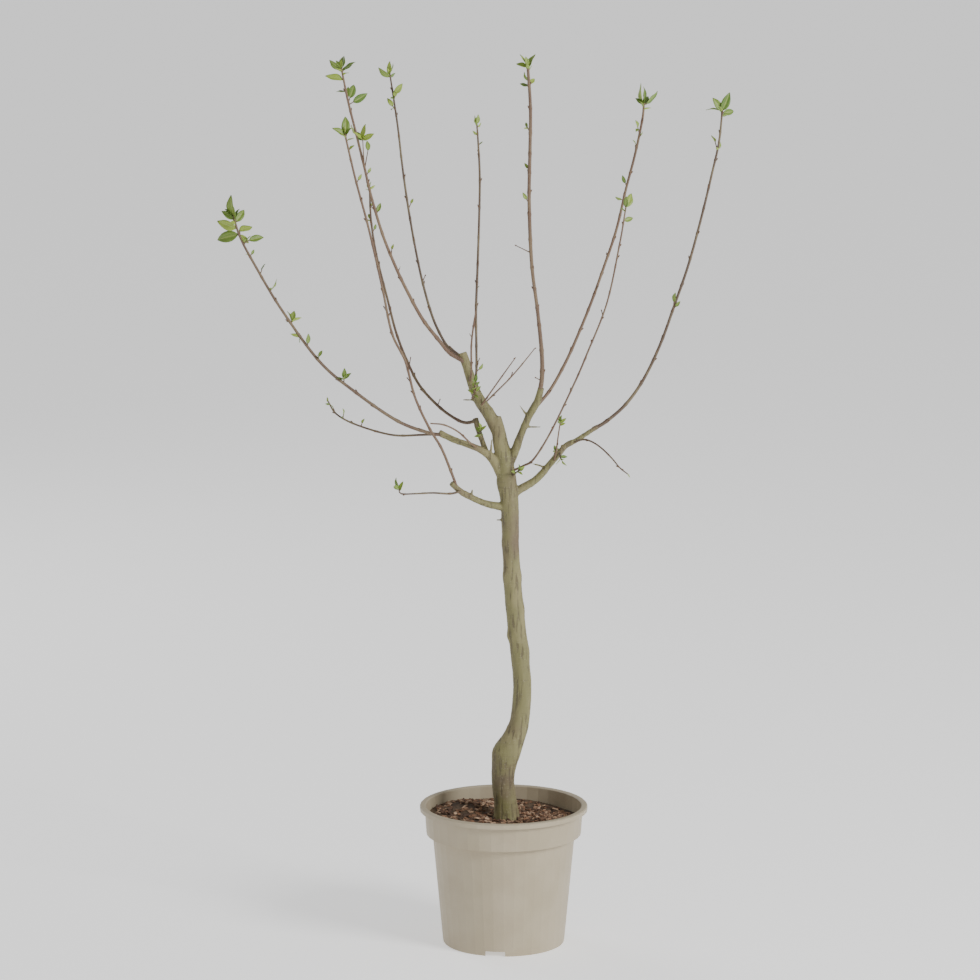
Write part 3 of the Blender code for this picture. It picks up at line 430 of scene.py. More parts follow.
# %% Shoots
# Year-old shoots and side twigs. A sprout is (height, lean in degrees, reach, leaves, leaf length),
# where lean is measured from straight up, to the right when positive, and a bare spur has no leaves.
# A tuft is (leaves, leaf length, how far down the tip they are spread, lean of the lowest from the stem).
SHOOTS = {
    "shoot_far_left": {
        "parent": "bough_left_mid",
        "route": (
            (-78, 674, -15, 2.3), (-98, 677, -18, 2.2), (-137, 692, -24, 2.1),
            (-188, 727, -32, 2.0), (-237, 769, -40, 1.9), (-286, 837, -48, 1.7),
            (-320, 895, -54, 1.6), (-338, 930, -58, 1.4), (-347, 960, -60, 1.2),
        ),
        "tuft": (5, 16, 12, 60),
        "sprouts": (
            (742, 8, 7, 4, 14), (772, 35, 3, 2, 10), (788, 5, 4, 1, 13), (799, -60, 3, 2, 12),
            (818, 10, 4, 4, 15), (861, 40, 4, 2, 14), (882, 20, 5, 1, 10), (905, 20, 3, 2, 8),
            (920, 30, 4, 2, 11), (922, 65, 8, 1, 21), (932, 140, 1, 1, 19), (935, -97, 1, 1, 33),
            (939, 67, 1, 1, 21), (942, -78, 1, 1, 27), (950, 38, 1, 1, 22), (952, -15, 1, 1, 31),
            (954, -58, 1, 1, 20),
        ),
    },
    "shoot_low_left": {
        "parent": "bough_left_mid",
        "route": (
            (-78, 676, -10, 1.6), (-107, 674, 0, 1.5), (-145, 674, 14, 1.4), (-190, 687, 34, 1.3),
            (-216, 701, 46, 1.2), (-227, 718, 52, 1.0),
        ),
        "tuft": (2, 8, 4, 50),
        "sprouts": (
            (685, 20, 4, 1, 8), (696, 10, 6, 2, 9), (706, -20, 3, 1, 8),
        ),
    },
    "shoot_left_front": {
        "parent": "bough_left_low",
        "route": (
            (-60, 603, -32, 1.9), (-68, 625, -42, 1.8), (-81, 657, -56, 1.7), (-97, 684, -68, 1.7),
            (-115, 724, -86, 1.6), (-127, 770, -104, 1.6), (-144, 806, -118, 1.6),
            (-156, 864, -138, 1.5), (-173, 940, -164, 1.5), (-190, 1005, -185, 1.4),
            (-203, 1062, -202, 1.2),
        ),
        "tuft": (3, 12, 8, 60),
        "sprouts": (
            (742, -35, 6, 0, 0), (832, -30, 6, 0, 0), (905, 25, 5, 0, 0), (1000, 35, 4, 1, 9),
            (1036, -25, 3, 0, 0), (1042, 40, 2, 1, 9), (1060, 11, 1, 1, 23), (1060, 35, 1, 1, 12),
            (1063, -50, 1, 1, 18),
        ),
    },
    "shoot_left_back": {
        "parent": "bough_left_stub",
        "route": (
            (-37, 692, 13, 2.3), (-50, 690, 20, 2.2), (-64, 696, 28, 2.1), (-84, 711, 42, 2.0),
            (-107, 736, 62, 1.9), (-122, 764, 80, 1.8), (-138, 805, 102, 1.7),
            (-150, 852, 124, 1.6), (-163, 905, 150, 1.5), (-170, 950, 170, 1.4),
            (-172, 995, 188, 1.2),
        ),
        "tuft": (5, 10, 7, 65),
        "sprouts": (
            (712, 20, 7, 0, 0), (764, 10, 8, 0, 0), (936, 25, 4, 1, 10), (950, -25, 4, 2, 9),
            (966, 25, 4, 1, 9),
        ),
    },
    "shoot_left_tall": {
        "parent": "leader",
        "route": (
            (-52, 770, 7, 3.0), (-70, 781, 3, 2.7), (-82, 795, -3, 2.5), (-105, 825, -15, 2.3),
            (-127, 866, -29, 2.1), (-142, 899, -38, 2.0), (-156, 935, -48, 1.9),
            (-170, 983, -60, 1.8), (-178, 1018, -68, 1.7), (-188, 1060, -76, 1.6),
            (-199, 1105, -85, 1.5), (-207, 1146, -92, 1.2),
        ),
        "tuft": (3, 12, 8, 60),
        "sprouts": (
            (884, 20, 4, 0, 0), (906, 5, 8, 1, 8), (958, 22, 3, 1, 13), (1010, 40, 3, 1, 8),
            (1018, 10, 24, 1, 16), (1020, -2, 38, 4, 18), (1060, -35, 1, 1, 15),
            (1102, 18, 6, 1, 22), (1099, 58, 6, 1, 22), (1105, 5, 4, 1, 13), (1115, -72, 1, 1, 12),
            (1131, -76, 1, 1, 23), (1143, -4, 1, 1, 23), (1141, 47, 1, 1, 22),
            (1147, -28, 1, 1, 13), (1146, -53, 1, 1, 20),
        ),
    },
    "shoot_mid_left": {
        "parent": "leader",
        "route": (
            (-53, 774, 15, 2.3), (-66, 784, 19, 2.1), (-76, 794, 24, 1.9), (-91, 825, 34, 1.8),
            (-104, 870, 46, 1.7), (-114, 918, 56, 1.6), (-123, 971, 67, 1.6), (-130, 1022, 78, 1.5),
            (-136, 1075, 88, 1.4), (-146, 1143, 100, 1.1),
        ),
        "tuft": (3, 10, 8, 50),
        "sprouts": (
            (872, 25, 6, 0, 0), (914, -20, 6, 0, 0), (966, 25, 7, 1, 8), (1092, -28, 7, 2, 14),
            (1106, 14, 4, 2, 12), (1110, 38, 4, 1, 18), (1136, -8, 1, 1, 18), (1133, -62, 1, 1, 19),
            (1139, 35, 1, 1, 12),
        ),
    },
    "shoot_centre": {
        "parent": "leader",
        "route": (
            (-42, 741, 9, 1.7), (-36, 752, 14, 1.6), (-35.5, 790, 22, 1.6), (-36, 834, 36, 1.7),
            (-34, 890, 52, 1.6), (-32, 950, 70, 1.5), (-31, 1005, 86, 1.5), (-33, 1050, 100, 1.3),
            (-35, 1078, 110, 1.0),
        ),
        "tuft": (2, 8, 4, 40),
        "sprouts": (
            (756, 50, 4, 1, 10), (765, 25, 9, 0, 0), (862, 20, 3, 1, 6), (1036, -20, 4, 0, 0),
            (1048, 40, 2, 1, 6), (1060, -55, 1, 1, 8), (1071, 60, 1, 1, 9), (1073, 6, 1, 1, 12),
            (1074, -24, 1, 1, 12),
        ),
    },
    "shoot_centre_short": {
        "parent": "leader",
        "route": (
            (-44, 744, 2, 1.5), (-42, 757, -4, 1.4), (-42, 790, -14, 1.3), (-39, 817, -24, 1.2),
            (-36, 836, -30, 0.9),
        ),
        "tuft": (0, 0, 0, 0),
        "sprouts": ((800, -30, 4, 0, 0),),
    },
    "shoot_mid_right": {
        "parent": "bough_right_mid",
        "route": (
            (46, 729, -17, 3.3), (49, 750, -22, 3.0), (48.5, 782, -34, 2.8), (43, 836, -54, 2.4),
            (36.5, 885, -72, 2.3), (33.5, 930, -88, 2.4), (32, 985, -106, 2.3),
            (33, 1040, -126, 2.2), (33.5, 1095, -145, 2.1), (30, 1149, -160, 1.8),
        ),
        "tuft": (3, 12, 8, 40),
        "sprouts": (
            (744, -60, 5, 0, 0), (911, -64, 18, 0, 0), (974, -32, 6, 1, 10), (1014, -30, 3, 1, 8),
            (1063, -25, 8, 2, 8), (1121, -66, 1, 1, 12), (1125, 32, 1, 1, 13),
            (1128, -35, 1, 1, 12), (1143, -14, 1, 1, 22), (1144, 12, 1, 1, 20),
            (1146, -62, 1, 1, 15),
        ),
    },
    "shoot_right_tall": {
        "parent": "bough_right_mid",
        "route": (
            (42, 711, -14, 2.3), (61, 735, 0, 2.1), (81, 772, 24, 2.0), (98, 811, 48, 1.9),
            (113, 849, 72, 1.9), (127, 889, 94, 1.8), (143.5, 939, 122, 1.8), (156, 993, 150, 1.7),
            (167, 1036, 172, 1.7), (176, 1080, 192, 1.6), (178, 1101, 200, 1.4),
        ),
        "tuft": (3, 12, 8, 60),
        "sprouts": (
            (862, 30, 4, 0, 0), (920, 25, 4, 0, 0), (978, -68, 2, 1, 10), (996, -28, 4, 1, 12),
            (1045, -15, 4, 1, 8), (1056, 35, 4, 1, 7), (1062, -14, 10, 2, 12), (1100, 48, 4, 1, 22),
            (1100, 30, 1, 1, 15), (1102, -20, 1, 1, 28), (1102, 14, 1, 1, 25),
            (1102, -46, 1, 1, 15),
        ),
    },
    "shoot_right_thin": {
        "parent": "trunk",
        "route": (
            (11, 627, -3, 1.6), (26, 634, -8, 1.5), (39, 643, -14, 1.4), (61, 679, -38, 1.3),
            (91, 742, -76, 1.3), (107, 780, -96, 1.3), (132, 845, -126, 1.2), (148, 921, -158, 1.2),
            (156, 970, -176, 1.0),
        ),
        "tuft": (2, 10, 6, 50),
        "sprouts": (
            (830, -15, 4, 0, 0), (900, 30, 4, 0, 0), (950, 68, 1, 1, 14), (968, 0, 1, 1, 14),
            (970, 22, 1, 1, 22),
        ),
    },
    "shoot_far_right": {
        "parent": "bough_right_low",
        "route": (
            (115, 682, 19, 2.8), (131, 691, 22, 2.4), (157, 714, 28, 2.2), (180, 747, 34, 2.1),
            (201, 792, 41, 2.0), (220, 846, 48, 1.9), (237, 897, 54, 1.8), (253, 958, 61, 1.7),
            (265, 1010, 67, 1.6), (274, 1052, 72, 1.5), (278, 1094, 75, 1.3),
        ),
        "tuft": (3, 12, 8, 60),
        "sprouts": (
            (774, 15, 5, 0, 0), (838, 5, 11, 1, 13), (838, 38, 5, 1, 10), (904, 15, 4, 0, 0),
            (990, 20, 4, 0, 0), (1038, 25, 4, 2, 10), (1041, -15, 11, 1, 13), (1090, 78, 1, 1, 18),
            (1093, 42, 1, 1, 16), (1094, 16, 1, 1, 25), (1096, -70, 1, 1, 21),
            (1096, -36, 1, 1, 20),
        ),
    },
    "twig_inner_short": {
        "parent": "leader",
        "route": (
            (-30, 711, -1, 1.2), (-12, 737, -17, 1.0), (0, 754, -28, 0.9), (15, 775, -40, 0.6),
        ),
        "tuft": (0, 0, 0, 0),
        "sprouts": (),
    },
    "twig_inner_long": {
        "parent": "leader",
        "route": (
            (-29, 711, 9, 1.2), (-9, 731, 24, 1.1), (5, 745, 36, 1.0), (20, 762, 48, 0.9),
            (40, 787, 64, 0.6),
        ),
        "tuft": (0, 0, 0, 0),
        "sprouts": ((750, 20, 4, 0, 0),),
    },
    "twig_left_upper": {
        "parent": "bough_left_mid",
        "route": (
            (-36, 658, -11, 1.5), (-45, 665, -20, 1.3), (-59, 678, -28, 1.2), (-77, 687, -36, 1.1),
            (-95, 689, -42, 0.9),
        ),
        "tuft": (0, 0, 0, 0),
        "sprouts": (),
    },
    "twig_left_lower": {
        "parent": "bough_left_low",
        "route": (
            (-56, 600, -33, 1.6), (-70, 597, -44, 1.4), (-92, 598, -56, 1.2), (-114, 597, -66, 1.1),
            (-133, 597, -74, 1.0), (-136, 604, -76, 0.9),
        ),
        "tuft": (3, 15, 2, 35),
        "sprouts": (),
    },
    "twig_right_drooping": {
        "parent": "bough_right_low",
        "route": (
            (90, 664, 14, 1.5), (102, 668, 4, 1.3), (114, 665, -6, 1.2), (127, 656, -16, 1.1),
            (140, 643, -26, 1.0), (150, 631, -34, 0.9), (160, 623, -40, 0.8),
        ),
        "tuft": (1, 7, 2, 30),
        "sprouts": ((631, -60, 3, 0, 0),),
    },
    "twig_right_upright": {
        "parent": "bough_right_low",
        "route": (
            (65, 641, 7, 1.3), (68, 655, -2, 1.1), (70, 672, -10, 1.0), (73, 692, -17, 0.8),
        ),
        "tuft": (3, 10, 5, 60),
        "sprouts": (
            (692, 40, 1, 1, 10), (693, -10, 1, 1, 11),
        ),
    },
    "sprout_on_leader": {
        "parent": "leader",
        "route": (
            (-41, 722, 3, 1.5), (-38, 730, -7, 1.4), (-37, 744, -13, 1.1),
        ),
        "tuft": (9, 11, 22, 85),
        "sprouts": (),
    },
    "sprout_on_stub": {
        "parent": "bough_left_stub",
        "route": (
            (-33, 674, 9, 1.3), (-30, 677, 0, 1.1), (-30, 682, -4, 0.9),
        ),
        "tuft": (7, 11, 9, 85),
        "sprouts": (),
    },
    "sprout_on_trunk": {
        "parent": "trunk",
        "route": (
            (8, 618, -4, 1.4), (15, 624, -13, 1.2), (20, 628, -16, 0.9),
        ),
        "tuft": (5, 11, 6, 70),
        "sprouts": (),
    },
    "sprout_on_right_bough": {
        "parent": "bough_right_low",
        "route": (
            (72, 650, 8, 1.3), (73, 645, -1, 1.1), (75, 641, -5, 0.9),
        ),
        "tuft": (4, 11, 5, 70),
        "sprouts": (),
    },
    "sprout_in_fork": {
        "parent": "bough_right_low",
        "route": (
            (61, 638, 12, 1.3), (65, 648, 20, 1.1), (67, 656, 24, 0.9),
        ),
        "tuft": (5, 8, 5, 70),
        "sprouts": (),
    },
}
print("shoots", len(SHOOTS))

# %% [markdown]
# ## Lines through the routes
# A limb has no corners, so a smooth curve passes through each route's rows. The curve is also what the
# sprouts are hung on: a sprout is given by the height at which it is seen, and the nearest point of the
# curve is its place.

# %% Lines
SHOOT_SPACING = 21 * MM
BOUGH_SPACING = 11 * MM


def seen(x, height, depth):
    """The place at this depth that the viewpoint sees at (x, height) on the plane through the pot."""
    on_plane = Vector((x, 0, height)) * MM
    return VIEWPOINT + (on_plane - VIEWPOINT) * (1 - depth * MM / VIEWPOINT.y)


def smooth_line(route, spacing):
    """Points (x, y, z, radius) in metres on a smooth curve through the route, about a spacing apart."""
    knots = [Vector((*seen(x, height, depth), radius * MM)) for x, height, depth, radius in route]
    ends = [2 * knots[0] - knots[1], *knots, 2 * knots[-1] - knots[-2]]
    line = []
    for before, start, stop, after in zip(ends, ends[1:], ends[2:], ends[3:]):
        steps = max(1, round((stop - start).length / spacing))
        for step in range(steps):
            t = step / steps
            line.append(
                start
                + 0.5 * t * (stop - before)
                + 0.5 * t * t * (2 * before - 5 * start + 4 * stop - after)
                + 0.5 * t**3 * (3 * start - before - 3 * stop + after)
            )
    line.append(knots[-1])
    return line


lines = {name: smooth_line(route, BOUGH_SPACING) for name, route in BARK_ROUTES.items()}
lines |= {name: smooth_line(plan["route"], SHOOT_SPACING) for name, plan in SHOOTS.items()}
print("lines", len(lines))

# %% Places and directions
LINE_SAMPLES = 8


def facing(direction, face):
    """The turn that lays local Z along a direction and local Y towards a face."""
    along = direction.normalized()
    across = face.cross(along).normalized()
    return Matrix((across, along.cross(across), along)).transposed()


def place_on_line(line, height):
    """The point of a line, with its radius, at a height seen on the plane."""
    target = height * MM
    best = None
    for first, second in zip(line, line[1:]):
        for step in range(LINE_SAMPLES):
            spot = first.lerp(second, step / LINE_SAMPLES)
            miss = abs(seen_height(spot.xyz) - target)
            if best is None or miss < best[0]:
                best = (miss, spot)
    return best[1]


def seen_height(place):
    """The height at which the viewpoint sees a place against the plane through the pot."""
    share = VIEWPOINT.y / (VIEWPOINT.y - place.y)
    return VIEWPOINT.z + (place.z - VIEWPOINT.z) * share


def leaning(lean, depth_lean):
    """A heading that leans from straight up by an angle to the right and by another to the back."""
    side, back = math.radians(lean), math.radians(depth_lean)
    return Vector((math.sin(side) * math.cos(back), math.sin(back), math.cos(side) * math.cos(back)))


print("the leader's middle is", place_on_line(lines["leader"], LEADER_ROUTE[3][1]).xyz)

# %% [markdown]
# ## Where the leaves grow
# Plum leaves climb a stem in a spiral, each turned on from the last by the golden angle, and the lowest
# lean out most. The draws come from a seed, so every run grows the same tree. A leaf or twig that would
# run into another limb is left out, which takes a list of what is filled already.

# %% Tufts
GOLDEN_TURN = math.radians(137.5)
LEAF_TURN = math.radians(45)
TOP_LEAF_LEAN = 9
LEAF_LEAN_SPREAD = 8
LEAF_ROLL = 65
LOW_LEAF_SMALLER = 0.15
LEAF_SIZE_SPREAD = 0.06
LEAF_BACK = 1.5 * MM
LEAF_OUT = 0.2 * MM


def plan_tuft(rng, tip, heading, leaves, length, spread, widest):
    """(root, direction, face, length) of leaves that turn round a tip, the lowest leaning out most."""
    side = (VIEWPOINT - tip).cross(heading).cross(heading).normalized()
    start_turn = rng.uniform(-LEAF_TURN, LEAF_TURN)
    plans = []
    for index in range(leaves):
        share = index / max(1, leaves - 1)
        outward = Matrix.Rotation(start_turn + index * GOLDEN_TURN, 3, heading) @ side
        lean = TOP_LEAF_LEAN + (widest - TOP_LEAF_LEAN) * share
        tilt = math.radians(lean + rng.uniform(-LEAF_LEAN_SPREAD, LEAF_LEAN_SPREAD))
        direction = heading * math.cos(tilt) + outward * math.sin(tilt)
        roll = Matrix.Rotation(math.radians(rng.uniform(-LEAF_ROLL, LEAF_ROLL)), 3, direction)
        face = roll @ (heading * math.sin(tilt) - outward * math.cos(tilt))
        smaller = 1 - LOW_LEAF_SMALLER * share
        size = length * MM * (smaller + rng.uniform(-LEAF_SIZE_SPREAD, LEAF_SIZE_SPREAD))
        root = tip - heading * (spread * MM * share + LEAF_BACK) + outward * LEAF_OUT
        plans.append((root, direction, face, size))
    return plans


# %% Filled space
LEAF_CLEARANCE = 1.0 * MM
TESTED_SHARES = 0.25, 0.5, 0.75, 1.0


class Space:
    """What the limbs and leaves already fill, so that a leaf or spur never runs into another piece."""

    def __init__(self):
        self.filled = []

    def fill(self, owner, start, end, radius):
        self.filled.append((owner, start, end, radius))

    def fill_line(self, owner, line):
        for first, second in zip(line, line[1:]):
            self.fill(owner, first.xyz, second.xyz, max(first.w, second.w))

    def is_clear(self, owner, start, end, radius):
        spots = [start.lerp(end, share) for share in TESTED_SHARES]
        for other, first, second, other_radius in self.filled:
            if other == owner:
                continue
            keep = radius + other_radius + LEAF_CLEARANCE
            for spot in spots:
                near, share = intersect_point_line(spot, first, second)
                near = first if share < 0 else second if share > 1 else near
                if (near - spot).length < keep:
                    return False
        return True


space = Space()
for name, line in lines.items():
    space.fill_line(name, line)
print("limbs fill", len(space.filled), "stretches")

# %% [markdown]
# ## Tubes
# A stem is round and tapers, and a curve with a bevel gives that from nothing but points and radii. It
# could be extruded ring by ring, but the curve turns its rings smoothly round a bend by itself.


# %% Tubes
def evaluated_mesh(obj):
    """The mesh of a curve or of an object with its modifiers applied; the object itself is removed."""
    bpy.context.view_layer.update()
    graph = bpy.context.evaluated_depsgraph_get()
    mesh = bpy.data.meshes.new_from_object(obj.evaluated_get(graph))
    bpy.data.objects.remove(obj)
    return mesh


def tube_mesh(line, sides):
    """A round tapering tube through (x, y, z, radius) points."""
    curve = bpy.data.curves.new("line", "CURVE")
    curve.dimensions = "3D"
    curve.bevel_depth = 1.0
    curve.bevel_resolution = sides // 2 - 2
    curve.use_fill_caps = True
    spline = curve.splines.new("POLY")
    spline.points.add(len(line) - 1)
    for point, place in zip(spline.points, line):
        point.co = (*place.xyz, 1.0)
        point.radius = place.w
    return evaluated_mesh(add_object("line", curve))


print("a tube is a curve with a round bevel")

# %% [markdown]
# ## Stems and buds
# A year-old shoot thickens a little at each bud, and the buds sit turn and turn about on its sides. That
# rhythm is what makes a bare shoot read as a plum and not as wire. All stems go into one mesh and all
# buds into another, which keeps the file light. Each stem carries its share of red as an attribute.

# %% Twigs
TWIG_SIDES = 6
TWIG_RADIUS = 0.9 * MM
TWIG_TAPER = 0.6
TWIG_TONE = 0.5
NEARLY_SIDEWAYS = 0.8

stems = bmesh.new()
stem_tone = stems.verts.layers.float.new("tone")


def add_twig(start, end):
    """Add a short round twig that tapers from start to end."""
    direction = end - start
    made = bmesh.ops.create_cone(
        stems, segments=TWIG_SIDES, radius1=TWIG_RADIUS, radius2=TWIG_TAPER * TWIG_RADIUS,
        depth=direction.length, cap_ends=True,
    )["verts"]
    sideways = abs(direction.normalized().x) >= NEARLY_SIDEWAYS
    side = Vector((0, 1, 0)) if sideways else Vector((1, 0, 0))
    bmesh.ops.rotate(stems, verts=made, matrix=facing(direction, side))
    bmesh.ops.translate(stems, verts=made, vec=(start + end) / 2)
    for vertex in made:
        vertex[stem_tone] = TWIG_TONE


print("twigs are", 2 * TWIG_RADIUS / MM, "mm thick at the foot")

# %% Buds
BUD_LENGTH = 5.0 * MM
BUD_RADIUS = 1.25 * MM
BUD_LEAN = math.radians(24)
BUD_POINT = 0.55
BUD_ROUND = 6
BUD_RINGS = 5
BUD_FOOT = 0.4

buds = bmesh.new()


def add_bud(place, along, outward, length):
    """Add a pointed bud that leans out from its stem."""
    made = bmesh.ops.create_uvsphere(buds, u_segments=BUD_ROUND, v_segments=BUD_RINGS, radius=0.5)["verts"]
    for vertex in made:
        width = 2 * BUD_RADIUS * (1 - BUD_POINT * (vertex.co.z + 0.5))
        vertex.co = Vector((vertex.co.x * width, vertex.co.y * width, (vertex.co.z + BUD_FOOT) * length))
    direction = along * math.cos(BUD_LEAN) + outward * math.sin(BUD_LEAN)
    bmesh.ops.rotate(buds, verts=made, matrix=facing(direction, outward))
    bmesh.ops.translate(buds, verts=made, vec=place)


print("buds are", BUD_LENGTH / MM, "mm long")

# %% Stems
STEM_SIDES = 8
STEM_SPACING = 3 * MM
REDDEST_STEM = 0.7
NODE_SWELL = 0.2
NODE_REACH = 2.5 * MM
BUD_EVERY = 30 * MM
FIRST_BUD_RANGE = 0.5, 1.0
BUD_GAP_RANGE = 0.8, 1.3
BUD_START_TURN = 0.5
BUD_SEAT = 0.8
FULL_BUD_STEM = 1.5 * MM


def place_buds(line, rng):
    """Put buds along a line, turn and turn about, and give back their places."""
    nodes = []
    run = 0.0
    next_bud = BUD_EVERY * rng.uniform(*FIRST_BUD_RANGE)
    turn = rng.uniform(-BUD_START_TURN, BUD_START_TURN)
    for first, second in zip(line, line[1:]):
        run += (second.xyz - first.xyz).length
        if run < next_bud:
            continue
        along = (second.xyz - first.xyz).normalized()
        across = (VIEWPOINT - second.xyz).cross(along).normalized()
        turn += GOLDEN_TURN
        outward = Matrix.Rotation(turn, 3, along) @ across
        length = BUD_LENGTH * min(1.0, second.w / FULL_BUD_STEM)
        add_bud(second.xyz + outward * second.w * BUD_SEAT, along, outward, length)
        nodes.append(second.xyz)
        next_bud += BUD_EVERY * rng.uniform(*BUD_GAP_RANGE)
    return nodes


def grow_stem(route, rng):
    """Add one stem, thicker at its buds."""
    line = smooth_line(route, STEM_SPACING)
    nodes = place_buds(line, rng)
    for point in line:
        near = [math.exp(-(((point.xyz - node).length / NODE_REACH) ** 2)) for node in nodes]
        point.w *= 1 + NODE_SWELL * max(near, default=0.0)
    before = len(stems.verts)
    stems.from_mesh(tube_mesh(line, STEM_SIDES))
    stems.verts.ensure_lookup_table()
    tone = rng.uniform(0.0, REDDEST_STEM)
    for vertex in stems.verts[before:]:
        vertex[stem_tone] = tone


print("a bud about every", BUD_EVERY / MM, "mm")

# %% [markdown]
# ## Leaf shape
# A plum leaf is a pointed oval, widest below its middle, folded along the rib and curled away at the
# tip, with a slightly wavy edge. A small grid of faces is narrowed to the outline and then folded and
# curled. Each leaf gets its own tone, and each vertex knows how near the rib it is.

# %% Leaf shape
LEAF_ACROSS = 4
LEAF_ALONG = 7
LEAF_WIDTH_SHARE = 0.46
LEAF_THICKNESS = 0.25 * MM
OUTLINE_LOW = 0.85
OUTLINE_FULL = 0.8
STALK_SHARE = 0.07
LEAF_FOLD = 0.35
FOLD_RANGE = 0.5, 1.5
LEAF_CURL = 0.16
CURL_RANGE = 0.4, 1.6
EDGE_WAVE = 0.03
WAVE_RATE = 9
WAVE_SHIFT = 6

leaves = bmesh.new()
leaf_tone = leaves.verts.layers.float.new("tone")
leaf_rib = leaves.verts.layers.float.new("rib")


def add_leaf(root, direction, face, length, rng):
    """Add one leaf in its own outline, folded along the rib and curled at the tip."""
    made = bmesh.ops.create_grid(leaves, x_segments=LEAF_ACROSS, y_segments=LEAF_ALONG, size=0.5)["verts"]
    tone = rng.uniform(0.0, 1.0)
    curl = LEAF_CURL * rng.uniform(*CURL_RANGE)
    fold = LEAF_FOLD * rng.uniform(*FOLD_RANGE)
    for vertex in made:
        across = 2 * vertex.co.x
        share = vertex.co.y + 0.5
        outline = max(STALK_SHARE, math.sin(math.pi * share**OUTLINE_LOW) ** OUTLINE_FULL)
        x = across * 0.5 * LEAF_WIDTH_SHARE * length * outline
        wave = EDGE_WAVE * length * math.sin(WAVE_RATE * share + WAVE_SHIFT * tone) * abs(across)
        vertex.co = Vector((x, abs(x) * fold - curl * length * share * share + wave, share * length))
        vertex[leaf_tone] = tone
        vertex[leaf_rib] = 1 - abs(across)
    bmesh.ops.rotate(leaves, verts=made, matrix=facing(direction, face))
    bmesh.ops.translate(leaves, verts=made, vec=root)


def grow_leaves(plans, owner, rng):
    """Add the planned leaves that have room."""
    for root, direction, face, size in plans:
        end = root + direction * size
        half_width = 0.5 * size * LEAF_WIDTH_SHARE
        if space.is_clear(owner, root, end, half_width):
            space.fill(owner, root, end, half_width)
            add_leaf(root, direction, face, size, rng)


print("a leaf is a grid of", LEAF_ACROSS, "by", LEAF_ALONG, "faces")

# %% [markdown]
# ## Growing the crown
# Each shoot is grown by the same rule as its solid and from the same seed, so its twigs and leaves stand
# where the solid's do. What only the looks need, such as tones and curls, is drawn from a second seed,
# because a draw taken from the first would move every leaf after it.

# %% Crown
SPROUT_SPREAD = 2
SPROUT_TILT = 70
SPROUT_DEPTH_LEAN = 30
SPUR_BUD_SHARE = 0.6


def grow_shoot(name, plan):
    """One shoot with its stem, buds, spurs, side sprouts and tip leaves."""
    rng = random.Random(name)
    looks_rng = random.Random(name + " looks")
    line = lines[name]
    grow_stem(plan["route"], looks_rng)
    for height, lean, reach, leaf_count, length in plan["sprouts"]:
        spot = place_on_line(line, height)
        heading = leaning(lean, rng.uniform(-SPROUT_DEPTH_LEAN, SPROUT_DEPTH_LEAN))
        start = spot.xyz
        end = start + heading * (reach * MM + spot.w)
        plans = plan_tuft(rng, end, heading, leaf_count, length, SPROUT_SPREAD, SPROUT_TILT)
        if not space.is_clear(name, start, end, TWIG_RADIUS):
            continue
        space.fill(name, start, end, TWIG_RADIUS)
        add_twig(start, end)
        grow_leaves(plans, name, looks_rng)
        if not leaf_count:
            add_bud(end, heading, heading, SPUR_BUD_SHARE * BUD_LENGTH)
    heading = (line[-1].xyz - line[-2].xyz).normalized()
    grow_leaves(plan_tuft(rng, line[-1].xyz, heading, *plan["tuft"]), name, looks_rng)


for name, plan in SHOOTS.items():
    grow_shoot(name, plan)
print("crown grown on", len(SHOOTS), "shoots")

# %% [markdown]
# ## Finishes of the crown
# Year-old shoots are dark, with a grey-olive skin in bands, and some are redder than others. Bud scales
# are red-brown. Leaves run from mid green to yellow-green, each with its own tone, and the rib shows as
# a paler line.

# %% Shoot finish
SHOOT_DARK = (0.085, 0.06, 0.04)
SHOOT_OLIVE = (0.165, 0.135, 0.075)
SHOOT_RED = (0.21, 0.115, 0.07)
SHOOT_SPECK = (0.34, 0.30, 0.22)


def shoot_finish():
    look = Look("year-old shoots", roughness=0.6)
    bands = look.step(look.cloud(per_metre=70, detail=4, stretch=(1, 1, 0.5)), low=0.4, high=0.65)
    skin = look.mix(bands, SHOOT_DARK, SHOOT_OLIVE)
    red = look.mix(look.attribute("tone"), skin, SHOOT_RED)
    specks = look.step(look.cloud(per_metre=700, detail=2), low=0.62, high=0.7)
    colour = look.mix(specks * 0.4, red, SHOOT_SPECK)
    return look.paint(colour, height=look.cloud(per_metre=500, detail=3), depth=0.3 * MM)


print("stems mix", SHOOT_DARK, "with", SHOOT_OLIVE)

# %% Bud and leaf finishes
BUD_DARK = (0.07, 0.035, 0.02)
BUD_RED = (0.20, 0.11, 0.055)
LEAF_GREEN = (0.085, 0.17, 0.022)
LEAF_YELLOW = (0.36, 0.47, 0.07)
LEAF_MOTTLE = (0.20, 0.30, 0.05)
LEAF_RIB = (0.45, 0.52, 0.16)


def bud_finish():
    look = Look("bud scales", roughness=0.6)
    colour = look.mix(look.cloud(per_metre=500, detail=2), BUD_DARK, BUD_RED)
    return look.paint(colour, height=look.cloud(per_metre=900, detail=2), depth=0.3 * MM)


def leaf_finish():
    look = Look("young leaves", roughness=0.45)
    fresh = look.mix(look.attribute("tone"), LEAF_GREEN, LEAF_YELLOW)
    mottle = look.step(look.cloud(per_metre=260, detail=3), low=0.35, high=0.65)
    body = look.mix(mottle * 0.3, fresh, LEAF_MOTTLE)
    rib = look.step(look.attribute("rib"), low=0.75, high=1.0)
    colour = look.mix(rib * 0.5, body, LEAF_RIB)
    return look.paint(colour, height=look.cloud(per_metre=700, detail=3), depth=0.3 * MM)


print("leaves run from", LEAF_GREEN, "to", LEAF_YELLOW)

